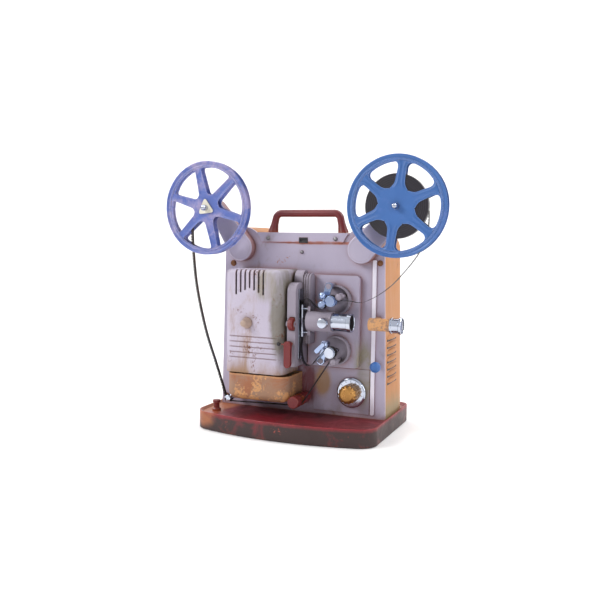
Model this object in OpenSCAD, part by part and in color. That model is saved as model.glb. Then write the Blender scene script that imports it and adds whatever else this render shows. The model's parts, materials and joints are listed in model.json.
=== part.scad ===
// Cine film projector for 8 mm film, with two folding reel arms.
// Frame: X to the right across the front panel, Y to the back, Z up.
// Origin: centre of the base, on the surface that the feet stand on.

/* [Base] */
// Width of the base across the machine
base_w = 252; // [248:1:300]
// Depth of the base, front to back
base_d = 191; // [186:1:230]
// Height of the rim of the base
base_h = 25; // [20:1:40]
// Depth of the tray inside the rim
tray_depth = 3.5; // [2:0.5:6]
// Width of the rim
rim_w = 5; // [3:0.5:8]
// Thickness of the pressed base
base_wall = 2.2; // [1.6:0.1:3]
// Radius of the corners of the base
base_corner_r = 24; // [16:1:60]
// Radius of the bow of the front edge
base_bow_r = 400; // [300:10:800]
// How far the rubber feet stand below the skirt
foot_proud = 0.5; // [0.3:0.1:2]
// Radius of a rubber foot
foot_r = 9; // [6:0.5:14]

/* [Body] */
// Width of the body where it stands on the base
body_w = 242; // [236:1:290]
// Height of the body from the tray to its top edge
body_h = 242.5; // [230:0.5:300]
// Depth of the body, front panel to back
body_d = 98; // [96:1:130]
// Where the front face of the panel lies, ahead of the base's centre
panel_ahead = 10; // [5:1:20]
// Thickness of the cast front panel
panel_t = 3.5; // [3:0.1:5]
// Thickness of the sheet of the rear housing
wall = 1.8; // [1.2:0.1:3]
// Radius of the rounded shoulders
shoulder_r = 28.5; // [24:0.5:34]
// Distance between the two arm pivots
pivot_span = 174.6; // [170:0.1:200]
// Louvres in each side
louvre_count = 7; // [3:1:9]
// Pitch of the louvres
louvre_pitch = 9.6; // [8:0.1:12]

/* [Handle] */
// Width of the handle across its legs
handle_w = 106; // [80:1:120]
// Height of the handle above the body
handle_h = 33; // [24:1:45]
// Radius of the handle's bar
handle_r = 5; // [3.5:0.1:6]

/* [Film path] */
// Distance from the panel to the middle of the film
film_off = 33; // [31:0.5:40]
// Width of the film
film_w = 8; // [7.9:0.1:8.1]
// Height of the lens axis above the tray
axis_h = 129.5; // [125:0.5:135]
// Distance from the body's centre to the sprockets
sprocket_x = 56; // [54:0.5:58]
// Radius of a sprocket's film track
sprocket_r = 7.3; // [7:0.1:7.6]
// Radius of a keeper roller
keeper_roller_r = 4.6; // [3.5:0.1:4.8]

/* [Reels] */
// Diameter of a reel
reel_d = 127; // [100:1:130]
// Gap between a reel's flanges
reel_gap = 9.5; // [8.6:0.1:11]
// Thickness of a flange
flange_t = 1.4; // [1:0.1:2]
// Radius of a reel's core
core_r = 15.5; // [12:0.5:20]
// Radius of the film wound on the supply reel
film_roll_r = 40; // [25:1:50]
// Radius of a reel spindle
spindle_r = 3.95; // [3:0.05:5]
// Length of the supply arm between its centres
supply_arm_l = 76; // [70:1:90]
// Angle of the supply arm above the horizontal
supply_arm_a = 46; // [40:1:55]
// Length of the take-up arm between its centres
takeup_arm_l = 66; // [62:1:90]
// Angle of the take-up arm above the horizontal
takeup_arm_a = 126; // [120:1:135]
// Radius of an arm's boss at its pivot
boss_r = 18.5; // [15:0.5:22]
// Radius of an arm's end at its spindle
arm_end_r = 12; // [9:0.5:15]
// Radius of the pivot pin that an arm turns on
pivot_r = 6; // [4:0.5:9]
// Running clearance of shafts in their bores, on the radius
running = 0.05; // [0.03:0.01:0.1]

/* [Lamp house] */
// Width of the lamp house cover
lamp_w = 85; // [80:1:90]
// Height of the lamp house cover
lamp_h = 137; // [130:1:145]
// How far the lamp house stands in front of the panel
lamp_d = 55; // [54:1:65]
// Wall of the lamp house
lamp_wall = 2; // [1.5:0.1:3]
// Radius of the cover's upright corners
lamp_corner_r = 11; // [6:0.5:16]
// Radius of the projection lamp's glass
bulb_r = 13.5; // [10:0.5:14]
// Grooves across the front of the cover
groove_count = 5; // [3:1:6]
// Slots in the top of the cover
vent_count = 7; // [5:1:7]

/* [Lens] */
// Radius of the lens barrel
barrel_r = 11.5; // [10:0.1:12]
// Length of the lens barrel
barrel_l = 58; // [50:1:64]
// Wall of the lens holder
holder_wall = 1.6; // [1.2:0.1:2.5]
// Throw of the focus knob's eccentric pin
focus_throw = 4; // [3:0.1:4.2]
// Radius of the front attachment's tube
attach_r = 8; // [7:0.5:9]
// Radius of the front attachment's turning ring
attach_ring_r = 9.5; // [9:0.1:11]

/* [Hidden] */

$fn = 48;
seat = 0.3; // gap between parts that move past each other
touch = 0.02; // gap between parts that are fixed to each other

// Colours
lavender_grey = "#b9b3c0";
maroon = "#7a2630";
rust = "#b98a5e";
tan_side = "#c8935a";
reel_blue = "#4e7bbf";
chrome = "#c9ccd2";
gold = "#b8894a";
dark = "#25242a";
glass = "#9fb8c8";

// Module 1 gears set the distance between the two sprockets
idler_teeth = 23;
sprocket_teeth = 44;
sprocket_span = idler_teeth + sprocket_teeth;

// Levels
deck_z = base_h - tray_depth;
top_z = deck_z + body_h;
axis_z = deck_z + axis_h;
pivot_z = top_z - 20;
pivot_x = pivot_span / 2;
lamp_base_z0 = deck_z + 19.5;
lamp_base_z1 = deck_z + 55.5;
lamp_z0 = lamp_base_z1 + 2;
lamp_z1 = lamp_z0 + lamp_h;

// Depths, front to back
panel_y = -panel_ahead;
panel_back = panel_y + panel_t;
body_back = panel_y + body_d;
film_y = panel_y - film_off;
plate_y = panel_y - 8;
lamp_y0 = panel_y - lamp_d;
arm_y0 = panel_y - 13;
arm_y1 = panel_y - 1;
reel_back_y = film_y + reel_gap / 2;
reel_front_y = film_y - reel_gap / 2;

// Places across
gate_x0 = 1;
gate_x1 = 13;
aperture_x = gate_x1 + 1.2;
film_x = aperture_x + 1;
lamp_x1 = -3;
lamp_x0 = lamp_x1 - lamp_w;
lamp_cx = -46;
upper_z = axis_z + 27;
lower_z = upper_z - sprocket_span;
idler_z = (upper_z + lower_z) / 2;
shutter_z = idler_z + 19.5;
shutter_y = panel_back + 8.5;
supply_x = pivot_x + supply_arm_l * cos(supply_arm_a);
supply_z = pivot_z + supply_arm_l * sin(supply_arm_a);
takeup_x = -pivot_x + takeup_arm_l * cos(takeup_arm_a);
takeup_z = pivot_z + takeup_arm_l * sin(takeup_arm_a);
bottom_roller_x = 11;
bottom_roller_z = deck_z + 22.5;
bottom_roller_r = 8;
guide_roller_x = -92;
guide_roller_z = deck_z + 16.2;
guide_roller_r = 4.5;
dial_x = 75.3;
dial_z = deck_z + 33.3;
rewind_x = 111;
rewind_z = deck_z + 71.9;
knob_x = lamp_cx - 8;
knob_z = axis_z - 5;
focus_x = 52;
wheel_y = -59;
wheel_z = axis_z - 3.7;
lever_x = 7;
lever_z = axis_z - 29.5;
film_r = sprocket_r + 0.5;
keeper_l = film_r + 0.5 + keeper_roller_r;
motor_y = panel_back + 48.5;
motor_z = deck_z + 53.5;
gear_y0 = panel_back + 14.5;
frame_y0 = gear_y0 + 8;
worm_r = 5;
motor_pulley_r = 3.9;
shaft_pulley_r = 6.5;
belt_x = 15.5;

// ---- Helpers ----

// A block between two corners
module block(x0, x1, y0, y1, z0, z1) {
  translate([x0, y0, z0]) cube([x1 - x0, y1 - y0, z1 - z0]);
}

// A 2-D shape in X and Z, run from y0 to y1
module front_extrude(y0, y1) {
  translate([0, y1, 0]) rotate([90, 0, 0]) linear_extrude(y1 - y0) children();
}

// A 2-D shape in Y and Z, run from x0 to x1
module side_extrude(x0, x1) {
  translate([x0, 0, 0]) rotate([90, 0, 90]) linear_extrude(x1 - x0) children();
}

module rod_y(x, z, r, y0, y1) {
  translate([x, y1, z]) rotate([90, 0, 0]) cylinder(r = r, h = y1 - y0);
}

module rod_x(y, z, r, x0, x1) {
  translate([x0, y, z]) rotate([0, 90, 0]) cylinder(r = r, h = x1 - x0);
}

// Angle from one circle's centre to where an outside straight line touches it
function touch_a(p, c, r, side) =
  atan2(p[1] - c[1], p[0] - c[0]) + side * acos(r / norm(p - c));

// Outline round two circles and the straight lines that touch both
module link(c1, r1, c2, r2) {
  d = norm(c2 - c1);
  a = atan2(c2[1] - c1[1], c2[0] - c1[0]);
  b = acos((r1 - r2) / d);
  n = 16;
  polygon([
    for (i = [0:n]) let (t = a + b + (360 - 2 * b) * i / n) c1 + r1 * [cos(t), sin(t)],
    for (i = [0:n]) let (t = a - b + 2 * b * i / n) c2 + r2 * [cos(t), sin(t)],
  ]);
}

// Rectangle with round corners
module round_rect(x0, x1, y0, y1, r) {
  translate([x0 + r, y0]) square([x1 - x0 - 2 * r, y1 - y0]);
  translate([x0, y0 + r]) square([x1 - x0, y1 - y0 - 2 * r]);
  for (x = [x0 + r, x1 - r], y = [y0 + r, y1 - r]) translate([x, y]) circle(r = r);
}

// Gear wheel of module 1 with straight-flanked teeth and running backlash
module gear_2d(teeth, turn = 0) {
  rp = teeth / 2;
  half = 90 / teeth * 0.82;
  slope = tan(20) * 180 / PI;
  root = half + 1.25 * slope / rp;
  tip = half - 0.85 * slope / rp;
  polygon([
    for (i = [0:teeth - 1], s = [[rp - 1.25, -root], [rp + 0.85, -tip], [rp + 0.85, tip], [rp - 1.25, root]])
      let (a = turn + 360 * i / teeth + s[1]) s[0] * [cos(a), sin(a)]
  ]);
}

// Flat band of film that follows points in X and Z
function side_dir(p, i) =
  let (a = p[max(i - 1, 0)], b = p[min(i + 1, len(p) - 1)], d = (b - a) / norm(b - a)) [-d[1], d[0]];

module film_band(points) {
  t = 0.2;
  n = len(points);
  front_extrude(film_y - film_w / 2, film_y + film_w / 2)
    polygon([
      for (i = [0:n - 1]) points[i] + t * side_dir(points, i),
      for (i = [n - 1:-1:0]) points[i] - t * side_dir(points, i),
    ]);
}

// Points on an arc about c, from angle a0 to a1
function arc_points(c, r, a0, a1, n) =
  [for (i = [0:n]) let (a = a0 + (a1 - a0) * i / n) c + r * [cos(a), sin(a)]];

// Smooth curve through points, n steps between each pair
function curve_point(p, i, t) =
  let (
    a = p[max(i - 1, 0)], b = p[i], c = p[i + 1], d = p[min(i + 2, len(p) - 1)]
  ) 0.5 * (2 * b + (c - a) * t + (2 * a - 5 * b + 4 * c - d) * t * t
    + (3 * b - a - 3 * c + d) * t * t * t);

function curve(p, n) = [
  for (i = [0:len(p) - 2], k = [0:n - 1]) curve_point(p, i, k / n),
  p[len(p) - 1],
];

// ---- Base ----

// Plan of the base: bowed front, corners that blend into the bow and the sides
module base_outline(inset) {
  side = base_w / 2;
  back = base_d / 2;
  r = base_corner_r;
  r_back = r * 0.6;
  bow_y = base_bow_r - base_d / 2;
  reach = base_bow_r - r;
  corner = [side - r, bow_y - sqrt(reach * reach - (side - r) * (side - r))];
  a = atan2(corner[1] - bow_y, corner[0]);
  half = concat(
    [for (i = [0:10]) [0, bow_y] + (base_bow_r - inset) * [cos(-90 + (a + 90) * i / 10), sin(-90 + (a + 90) * i / 10)]],
    arc_points(corner, r - inset, a, 0, 12),
    arc_points([side - r_back, back - r_back], r_back - inset, 0, 90, 12)
  );
  n = len(half);
  polygon(concat(half, [for (i = [n - 1:-1:1]) [-half[i][0], half[i][1]]]));
}

module base_tray() {
  color(maroon) difference() {
    translate([0, 0, foot_proud]) linear_extrude(base_h - foot_proud) base_outline(0);
    translate([0, 0, deck_z]) linear_extrude(base_h) base_outline(rim_w);
    translate([0, 0, -1]) linear_extrude(deck_z - base_wall + 1) base_outline(base_wall);
  }
}

module base_plate() {
  color(dark) difference() {
    union() {
      translate([0, 0, foot_proud + 2]) linear_extrude(1.2) base_outline(base_wall + touch);
      for (x = [-80, 80], y = [-50, 62])
        translate([x, y, foot_proud + 2]) cylinder(r = 6, h = deck_z - base_wall - foot_proud - 2 - touch);
    }
    for (p = foot_places()) translate([p[0], p[1], -1]) cylinder(r = 3, h = 8);
  }
}

function foot_places() = [
  for (x = [-1, 1], y = [-1, 1]) [x * (base_w / 2 - 28), y * (base_d / 2 - 30)]
];

module base_feet() {
  color("#1c1c1e") for (p = foot_places()) translate([p[0], p[1], 0]) {
    cylinder(r = foot_r, h = foot_proud + 2 - touch);
    cylinder(r = 2.9, h = foot_proud + 4);
  }
}

module cover_post() {
  color(maroon) translate([-104.8, -55, deck_z]) {
    cylinder(r = 6, h = 3);
    cylinder(r = 4, h = 14);
    translate([0, 0, 11]) cylinder(r = 5.4, h = 4);
  }
}

// ---- Body ----

// Front view of the body: straight sides run up to the round shoulders
module body_outline(inset) {
  r = shoulder_r - inset;
  foot = [body_w / 2 - inset, deck_z + inset];
  c = [pivot_x, pivot_z];
  a = touch_a(foot, c, r, 1);
  side = c + r * [cos(a), sin(a)];
  polygon([[-foot[0], foot[1]], foot, side, c, [-c[0], c[1]], [-side[0], side[1]]]);
  for (x = [-1, 1]) translate([x * c[0], c[1]]) circle(r = r);
  translate([-c[0], c[1] - r]) square([2 * c[0], top_z - inset - c[1] + r]);
}

module panel_holes(grow) {
  for (z = [upper_z, lower_z, idler_z]) rod_y(sprocket_x, z, 2.5 + grow, panel_y - 30, panel_back + 1);
}

module front_panel() {
  color(lavender_grey) {
    difference() {
      front_extrude(panel_y, panel_back) body_outline(0);
      panel_holes(running);
      rod_y(dial_x, dial_z, 5 + running, panel_y - 5, panel_back + 5);
      rod_y(rewind_x, rewind_z, 2.5 + running, panel_y - 5, panel_back + 5);
      // window behind the lamp for the cooling air
      block(lamp_cx - 24, lamp_cx + 24, panel_y - 1, panel_back + 1, axis_z - 62, axis_z + 42);
      // slot that the shutter turns in
      block(-4, gate_x0 - 0.5, panel_y - 1, panel_back + 1, shutter_z - 51, shutter_z + 51);
      for (s = panel_screw_places()) rod_y(s[0], s[1], s[3] + 0.1, panel_y - 1, panel_back + 1);
    }
    // pins that the arms turn on
    for (x = [-1, 1]) rod_y(x * pivot_x, pivot_z, pivot_r, arm_y0 + 2.5, panel_y);
    // studs that the two lower rollers turn on
    rod_y(bottom_roller_x, bottom_roller_z, 2.5, film_y - 15, panel_y);
    rod_y(guide_roller_x, guide_roller_z, 1.8, film_y - 4, panel_y);
    rod_y(bottom_roller_x, bottom_roller_z, 5, panel_y - 7.5, panel_y);
    rod_y(guide_roller_x, guide_roller_z, 3.4, film_y + 6, panel_y);
  }
}

// Rear housing: slices that draw in towards the back, in depth and inset
module housing_form(inset) {
  steps = [[0, 0], [body_d - panel_t - 34, 0], [body_d - panel_t - 14, 5], [body_d - panel_t - 4, 14], [body_d - panel_t, 24]];
  hull() for (s = steps) {
    y = panel_back + touch + s[0] - (s[0] > 0 ? inset : 0);
    front_extrude(y - 0.05, y) hull() {
      body_outline(s[1] + inset);
      half = body_w / 2 - s[1] - inset;
      translate([-half, deck_z + inset]) square([2 * half, 1]);
    }
  }
}

module rear_housing() {
  louvre_z = deck_z + 44.5;
  color(tan_side) difference() {
    union() {
      intersection() {
        housing_form(0);
        front_extrude(panel_back, body_back + 1) body_outline(0);
      }
    }
    intersection() {
      translate([0, -1, 0]) housing_form(wall);
      front_extrude(panel_back - 2, body_back + 1) body_outline(wall);
    }
    block(-body_w / 2 + 6, body_w / 2 - 6, panel_back - 1, body_back - 18, deck_z - 1, deck_z + wall + 1);
    for (i = [0:louvre_count - 1])
      block(-body_w, body_w, panel_back + 7, panel_back + 50, louvre_z + i * louvre_pitch, louvre_z + i * louvre_pitch + 2.4);
    // opening for the mains inlet
    block(45, 75, body_back - 10, body_back + 1, deck_z + 22, deck_z + 42);
    // air slots in the back
    for (x = [-60:12:12])
      block(x, x + 4, body_back - 10, body_back + 1, motor_z - 20, motor_z + 20);
  }
}

module top_strip() {
  ends = shoulder_r + seat;
  color(lavender_grey) difference() {
    union() {
      front_extrude(panel_y - 2.2, panel_y - touch) translate([-66, top_z - 11.5]) square([132, 11.5 + 1.5]);
      block(-66, 66, panel_y - 2.2, panel_y + 10, top_z + touch, top_z + 1.5);
    }
    for (x = [-1, 1]) rod_y(x * pivot_x, pivot_z, ends, panel_y - 5, panel_y + 15);
    block(-3.5, 9.5, panel_y - 5, panel_y + 1, top_z - 12, top_z - 5);
    for (s = panel_screw_places()) rod_y(s[0], s[1], s[3] + 0.1, panel_y - 5, panel_back + 1);
  }
}

// Catch that the carrying cover's latch hooks into
module cover_latch() {
  color(dark) difference() {
    block(-3.3, 9.3, panel_y - 3, panel_y - touch, top_z - 12.4, top_z - 5.2);
    block(-1.5, 7.5, panel_y - 4, panel_y - 1, top_z - 10.6, top_z - 7);
  }
}

// Screws: across, up, head radius, shank radius, how proud of the panel the seat is
function panel_screw_places() = [
  [-49, top_z - 6.5, 2.8, 1.4, 2.2],
  [49, top_z - 6.5, 2.8, 1.4, 2.2],
  [0.5, top_z - 24.6, 2.4, 1.4, 0],
  [-103.5, top_z - 42, 4.2, 2, 0],
  [110.4, top_z - 37, 3.8, 1.8, 0],
  [-113, deck_z + 12, 3.2, 1.6, 0],
];

module panel_screws() {
  color(chrome) for (s = panel_screw_places()) {
    y = panel_y - s[4] - touch;
    difference() {
      union() {
        rod_y(s[0], s[1], s[2], y - 1.2, y);
        intersection() {
          rod_y(s[0], s[1], s[2], y - 3, y);
          translate([s[0], y + s[2], s[1]]) sphere(r = s[2] * 1.65);
        }
        rod_y(s[0], s[1], s[3], y, panel_back - 0.5);
      }
      block(s[0] - 0.4, s[0] + 0.4, y - 4, y - 0.9, s[1] - 6, s[1] + 6);
    }
  }
}

module lens_plate() {
  color(lavender_grey) difference() {
    front_extrude(plate_y, panel_y - touch) round_rect(gate_x1 + 1, 85.5, deck_z + 66.5, axis_z + 59, 5);
    panel_holes(0.4);
  }
}

module control_panel() {
  color(lavender_grey) difference() {
    front_extrude(panel_y - 1.2, panel_y - touch) round_rect(20, 99.5, deck_z + 5, deck_z + 65, 1);
    rod_y(dial_x, dial_z, 5 + running, panel_y - 5, panel_back + 5);
  }
}

module trim_strip() {
  color("#d9d5de") front_extrude(panel_y - 2.4, panel_y - touch)
    round_rect(100.8, 106.2, deck_z + 5, top_z - 33, 2);
}

// ---- Handle ----

module carry_handle() {
  y = panel_y + 20;
  r = handle_r;
  leg = handle_w / 2 - r;
  top = top_z + handle_h - r;
  lean = 4;
  bend = 6;
  color(maroon) {
    for (s = [-1, 1]) {
      dx = lean / (top - bend - top_z);
      hull() {
        translate([s * (leg + lean), y, top_z + 0.1]) cylinder(r = r + 2.6, h = 0.2);
        translate([s * leg, y, top - bend]) sphere(r = r, $fn = 32);
      }
      hull() {
        translate([s * leg, y, top - bend]) sphere(r = r, $fn = 32);
        translate([s * (leg - bend * 0.3), y, top - bend * 0.3]) sphere(r = r, $fn = 32);
        translate([s * (leg - bend), y, top]) sphere(r = r, $fn = 32);
      }
    }
    rod_x(y, top, r, -leg + bend, leg - bend);
  }
}

// ---- Lamp house ----

module lamp_plan(inset, depth) {
  r = max(lamp_corner_r - inset, 1);
  x0 = lamp_x0 + inset;
  x1 = lamp_x1 - inset;
  y0 = lamp_y0 + inset;
  union() {
    translate([x0, y0 + r]) square([x1 - x0, depth - y0 - r]);
    translate([x0 + r, y0]) square([x1 - x0 - 2 * r, 2 * r]);
    for (x = [x0 + r, x1 - r]) translate([x, y0 + r]) circle(r = r);
  }
}

module lamp_cover() {
  back = panel_y - seat;
  color(lavender_grey) difference() {
    union() {
      translate([0, 0, lamp_z0]) linear_extrude(lamp_h - 5) lamp_plan(0, back);
      translate([0, 0, lamp_z1 - 5]) linear_extrude(2.5) lamp_plan(1.2, back);
      translate([0, 0, lamp_z1 - 2.5]) linear_extrude(2.5) lamp_plan(3.4, back);
    }
    translate([0, 0, lamp_z0 - 1]) linear_extrude(lamp_h - 1.5 - lamp_wall) lamp_plan(lamp_wall, back + 1);
    // grooves across the front
    for (i = [0:groove_count - 1])
      block(lamp_x0 + 4, lamp_x1 - 4, lamp_y0 - 1, lamp_y0 + 0.8, lamp_z0 + 20 + 7 * i, lamp_z0 + 21.3 + 7 * i);
    // slots in the top, open for the hot air
    for (i = [0:vent_count - 1])
      block(-71.5 + 6.6 * i, -69.3 + 6.6 * i, lamp_y0 - 1, lamp_y0 + 24, lamp_z1 - 24 - 3 * abs(i - 3), lamp_z1 + 1);
    // light outlet
    rod_x(film_y, axis_z, 7, lamp_x1 - 4, lamp_x1 + 1);
    rod_y(knob_x, knob_z, 2.2, lamp_y0 - 1, lamp_y0 + lamp_wall + 1);
  }
  // stop stud that the gate lever's rod rests against
  color(dark) {
    rod_y(-6, lever_z, 1.2, lamp_y0 - 2, lamp_y0 + 4.5);
    translate([-6, lamp_y0 - 4, lever_z]) sphere(r = 2.6);
  }
}

module lamp_cover_knob() {
  y = lamp_y0 - seat;
  color("#b49a88") {
    rod_y(knob_x, knob_z, 2.1, y - 1, lamp_y0 + 4.3);
    translate([knob_x, y, knob_z]) rotate([90, 0, 0]) cylinder(r1 = 7.5, r2 = 4.6, h = 9);
    translate([knob_x, y - 7.8, knob_z]) sphere(r = 4.7);
  }
}

// Plan with two round corners in front and a square back
module front_round(x0, x1, y0, y1, r) {
  translate([x0, y0 + r]) square([x1 - x0, y1 - y0 - r]);
  translate([x0 + r, y0]) square([x1 - x0 - 2 * r, 2 * r]);
  for (x = [x0 + r, x1 - r]) translate([x, y0 + r]) circle(r = r);
}

module lamp_base_form(inset, back) {
  x0 = lamp_x0 + 2 + inset;
  x1 = gate_x0 + 2 - inset;
  y0 = lamp_y0 + 2 + inset;
  for (k = [[[0, 11], [3, 6]], [[3, 6], [9, 2]], [[9, 2], [17, 0]]]) hull() for (s = k)
    translate([0, 0, lamp_base_z0 + s[0] + inset])
      linear_extrude(0.1) front_round(x0 + s[1], x1 - s[1], y0 + s[1], back, 12);
  translate([0, 0, lamp_base_z0 + 17]) linear_extrude(19 + inset) front_round(x0, x1, y0, back, 12);
}

module lamp_base() {
  color(rust) difference() {
    lamp_base_form(0, panel_y - touch);
    lamp_base_form(lamp_wall, panel_y + 5);
  }
}

module lamp_bulb() {
  base_top = lamp_base_z1 + 6;
  color(glass) translate([lamp_cx, film_y, 0]) {
    translate([0, 0, base_top]) cylinder(r = bulb_r, h = axis_z + 26 - base_top);
    translate([0, 0, axis_z + 26]) sphere(r = bulb_r);
    translate([0, 0, base_top - 21 + touch]) cylinder(r = 10, h = 21);
  }
}

module lamp_socket() {
  z1 = lamp_base_z1 + 5;
  z0 = lamp_base_z0 + lamp_wall + 0.1 + touch;
  color(dark) difference() {
    union() {
      translate([lamp_cx, film_y, z1 - 22]) cylinder(r = 14, h = 22);
      block(lamp_cx - 8, lamp_cx + 8, film_y, panel_y - touch, z1 - 22, z1 - 19);
      block(lamp_cx - 8, lamp_cx + 8, panel_y - 3, panel_y - touch, z1 - 22, z1 - 6);
      block(lamp_cx - 9, lamp_cx + 9, film_y - 5, film_y + 9, z0, z1 - 21);
    }
    translate([lamp_cx, film_y, z1 - 20]) cylinder(r = 10 + touch, h = 30);
  }
}

// Sheet bracket: reflector behind the lamp, ring for the condenser, strap across the front
module reflector_bracket() {
  x_ring = -21;
  x_dish = lamp_cx - 30;
  dish_r = 30;
  strap_y = film_y - 16;
  color(chrome) {
    difference() {
      union() {
        rod_x(film_y, axis_z, 15, x_ring, x_ring + 9);
        block(x_ring, x_ring + 3, film_y, panel_y - touch, axis_z - 14, axis_z + 14);
        block(x_ring, x_ring + 3, strap_y - 2, film_y, axis_z - 14, axis_z + 6);
      }
      rod_x(film_y, axis_z, 12.05, x_ring + 2, x_ring + 10);
      rod_x(film_y, axis_z, 10.5, x_ring - 1, x_ring + 3);
    }
    difference() {
      intersection() {
        translate([x_dish + dish_r, film_y, axis_z]) sphere(r = dish_r);
        block(x_dish - 1, x_dish + 7, film_y - 16, film_y + 16, axis_z - 16, axis_z + 16);
      }
      translate([x_dish + dish_r, film_y, axis_z]) sphere(r = dish_r - 1.2);
    }
    block(x_dish - 1, x_dish + 1.1, strap_y - 2, film_y + 0.5, axis_z - 10, axis_z + 6);
    block(x_dish - 1, x_dish + 1.1, film_y, panel_y - touch, axis_z - 10, axis_z + 6);
    difference() {
      block(x_dish - 1, x_ring + 3, strap_y - 2, strap_y - 0.5, axis_z - 10, axis_z);
      rod_y(knob_x, knob_z, 2.4, strap_y - 5, strap_y + 1);
    }
  }
}

// Glass element along X: flat on its left face, domed to the right
module element(x, r, t, dome) {
  ball = (r * r + dome * dome) / (2 * dome);
  color(glass) translate([x, film_y, axis_z]) rotate([0, 90, 0]) rotate_extrude() intersection() {
    square([r, t]);
    translate([0, t - ball]) circle(r = ball, $fn = 96);
  }
}

module condenser_lens() {
  element(-18.9, 12, 6.8, 4);
}

// ---- Gate ----

module gate_casting() {
  top = axis_z + 49;
  back = panel_y - touch;
  color("#a79fb0") difference() {
    union() {
      block(gate_x0, gate_x1, film_y - 15.5, back, axis_z - 60, top - 12);
      block(gate_x0, gate_x1, film_y - 3.5, back, top - 13, top);
      rod_x(film_y - 3.5, top - 12, 12, gate_x0, gate_x1);
      // guard round the shutter's shaft, with a round top
      block(gate_x0, gate_x1, -35.7, back, axis_z, axis_z + 54);
      rod_x(-24.7, axis_z + 54, 11, gate_x0, gate_x1);
      // ribbed housing between the guard and the lens
      block(gate_x1 - 1, 24, -34.7, plate_y - touch, axis_z - 31, axis_z + 52);
      rod_x(-26.5, axis_z + 52, 8.2, gate_x1 - 1, 24);
      for (x = [14.6, 18.2, 21.8]) {
        block(x, x + 1.6, -35.7, plate_y - touch, axis_z - 32, axis_z + 52);
        rod_x(-26.5, axis_z + 52, 9.2, x, x + 1.6);
      }
      // ears that carry the framing wheel's shaft
      for (x = [[gate_x0, 4.5], [12, gate_x1]]) rod_x(wheel_y, wheel_z, 4, x[0], x[1]);
    }
    block(gate_x1 - 2, 30, plate_y - touch, panel_y + 5, axis_z + 43, axis_z + 70);
    rod_x(film_y, axis_z, 5, gate_x0 - 1, gate_x1 + 1);
    // pocket for the framing wheel, and its shaft
    rod_x(wheel_y, wheel_z, 9, 4.5, 12);
    rod_x(wheel_y, wheel_z, 1.5 + running, 2, gate_x1 + 1);
    // pocket that the claw moves in
    block(8, gate_x1 + 1, -48.8, -40.5, axis_z - 36, axis_z - 17);
    // bore for the lever's pin
    rod_y(lever_x, lever_z, 2 + running, -62, -52);
  }
}

module aperture_plate() {
  color(chrome) difference() {
    block(gate_x1 + touch, aperture_x, -50, -36, axis_z - 51, axis_z + 41);
    block(gate_x1 - 1, aperture_x + 1, film_y - 1.8, film_y + 3, axis_z - 1.8, axis_z + 1.8);
    block(gate_x1 - 1, aperture_x + 1, -47.8, -46.2, axis_z - 30, axis_z - 13.5);
    rod_x(wheel_y, wheel_z, 3, gate_x1 - 1, aperture_x + 1);
  }
}

module claw() {
  color(chrome) {
    block(8.5, 12.4, -48.4, -41, axis_z - 31.5, axis_z - 17.5);
    block(12, film_x - 0.5, -47.3, -46.7, axis_z - 20.4, axis_z - 19.4);
  }
}

module framing_wheel() {
  color(maroon) {
    rod_x(wheel_y, wheel_z, 8.5, 5, 11.5);
    rod_x(wheel_y, wheel_z, 1.5, 2.5, gate_x1 - 0.3);
  }
}

module gate_lever() {
  y0 = lamp_y0 - 7;
  y1 = lamp_y0 - 1;
  color(maroon) {
    front_extrude(y0, y1) link([lever_x, lever_z], 4.5, [lever_x, lever_z - 26], 4.2);
    rod_y(lever_x, lever_z, 2, y1 - 1, -52.5);
    rod_x((y0 + y1) / 2, lever_z, 1, -2.2, lever_x);
  }
}

module pressure_plate() {
  x = film_x + 1.4;
  color(chrome) {
    difference() {
      block(x, x + 2, film_y - 5, film_y + 5, axis_z - 21, axis_z + 21);
      rod_x(film_y, axis_z, 3.5, x - 1, x + 3);
    }
    for (s = [-1, 1]) rod_x(film_y, axis_z + s * 15.5, 1.2, x + 1, x + 12.5);
  }
}

// ---- Lens ----

module lens_holder() {
  r = barrel_r + 0.06 + holder_wall;
  color("#8d8793") difference() {
    union() {
      rod_x(film_y, axis_z, r, 25, 59);
      // flange that guides the pressure plate
      block(25, 28.5, film_y - 4, film_y + 4, axis_z - 19, axis_z + 19);
      // foot on the lens plate
      block(28, 56, film_y + 6, plate_y - touch, axis_z - 7, axis_z + 7);
      rod_y(focus_x, axis_z, 7, film_y - r - 2.5, film_y);
    }
    rod_x(film_y, axis_z, barrel_r + 0.06, 24, 60);
    for (s = [-1, 1]) rod_x(film_y, axis_z + s * 15.5, 1.25, 24, 30);
    rod_y(focus_x, axis_z, 5.4 + running, film_y - r - 5, film_y - barrel_r + 1.6);
  }
}

module lens_barrel() {
  x0 = 85 - barrel_l;
  color(chrome) difference() {
    union() {
      rod_x(film_y, axis_z, barrel_r, x0, 85);
      rod_x(film_y, axis_z, barrel_r + 0.7, 80, 85);
    }
    rod_x(film_y, axis_z, barrel_r - 2, x0 - 1, 86);
    block(focus_x - 1.6, focus_x + 1.6, film_y - barrel_r - 1, film_y - barrel_r + 1.7, axis_z - 6.2, axis_z + 6.2);
  }
}

module lens_glass() {
  for (x = [85 - barrel_l + 3, 77]) element(x, barrel_r - 2 - touch, 5, 2.5);
}

module focus_knob() {
  face = film_y - barrel_r - 0.3;
  out = film_y - barrel_r - holder_wall - 2.5 - seat;
  color(chrome) {
    rod_y(focus_x, axis_z, 5.4, out - 1, face);
    rod_y(focus_x, axis_z, 6.4, out - 8, out - 0.1);
    rod_y(focus_x, axis_z + focus_throw, 1.1, face - 1, face + 1.4);
  }
}

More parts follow.
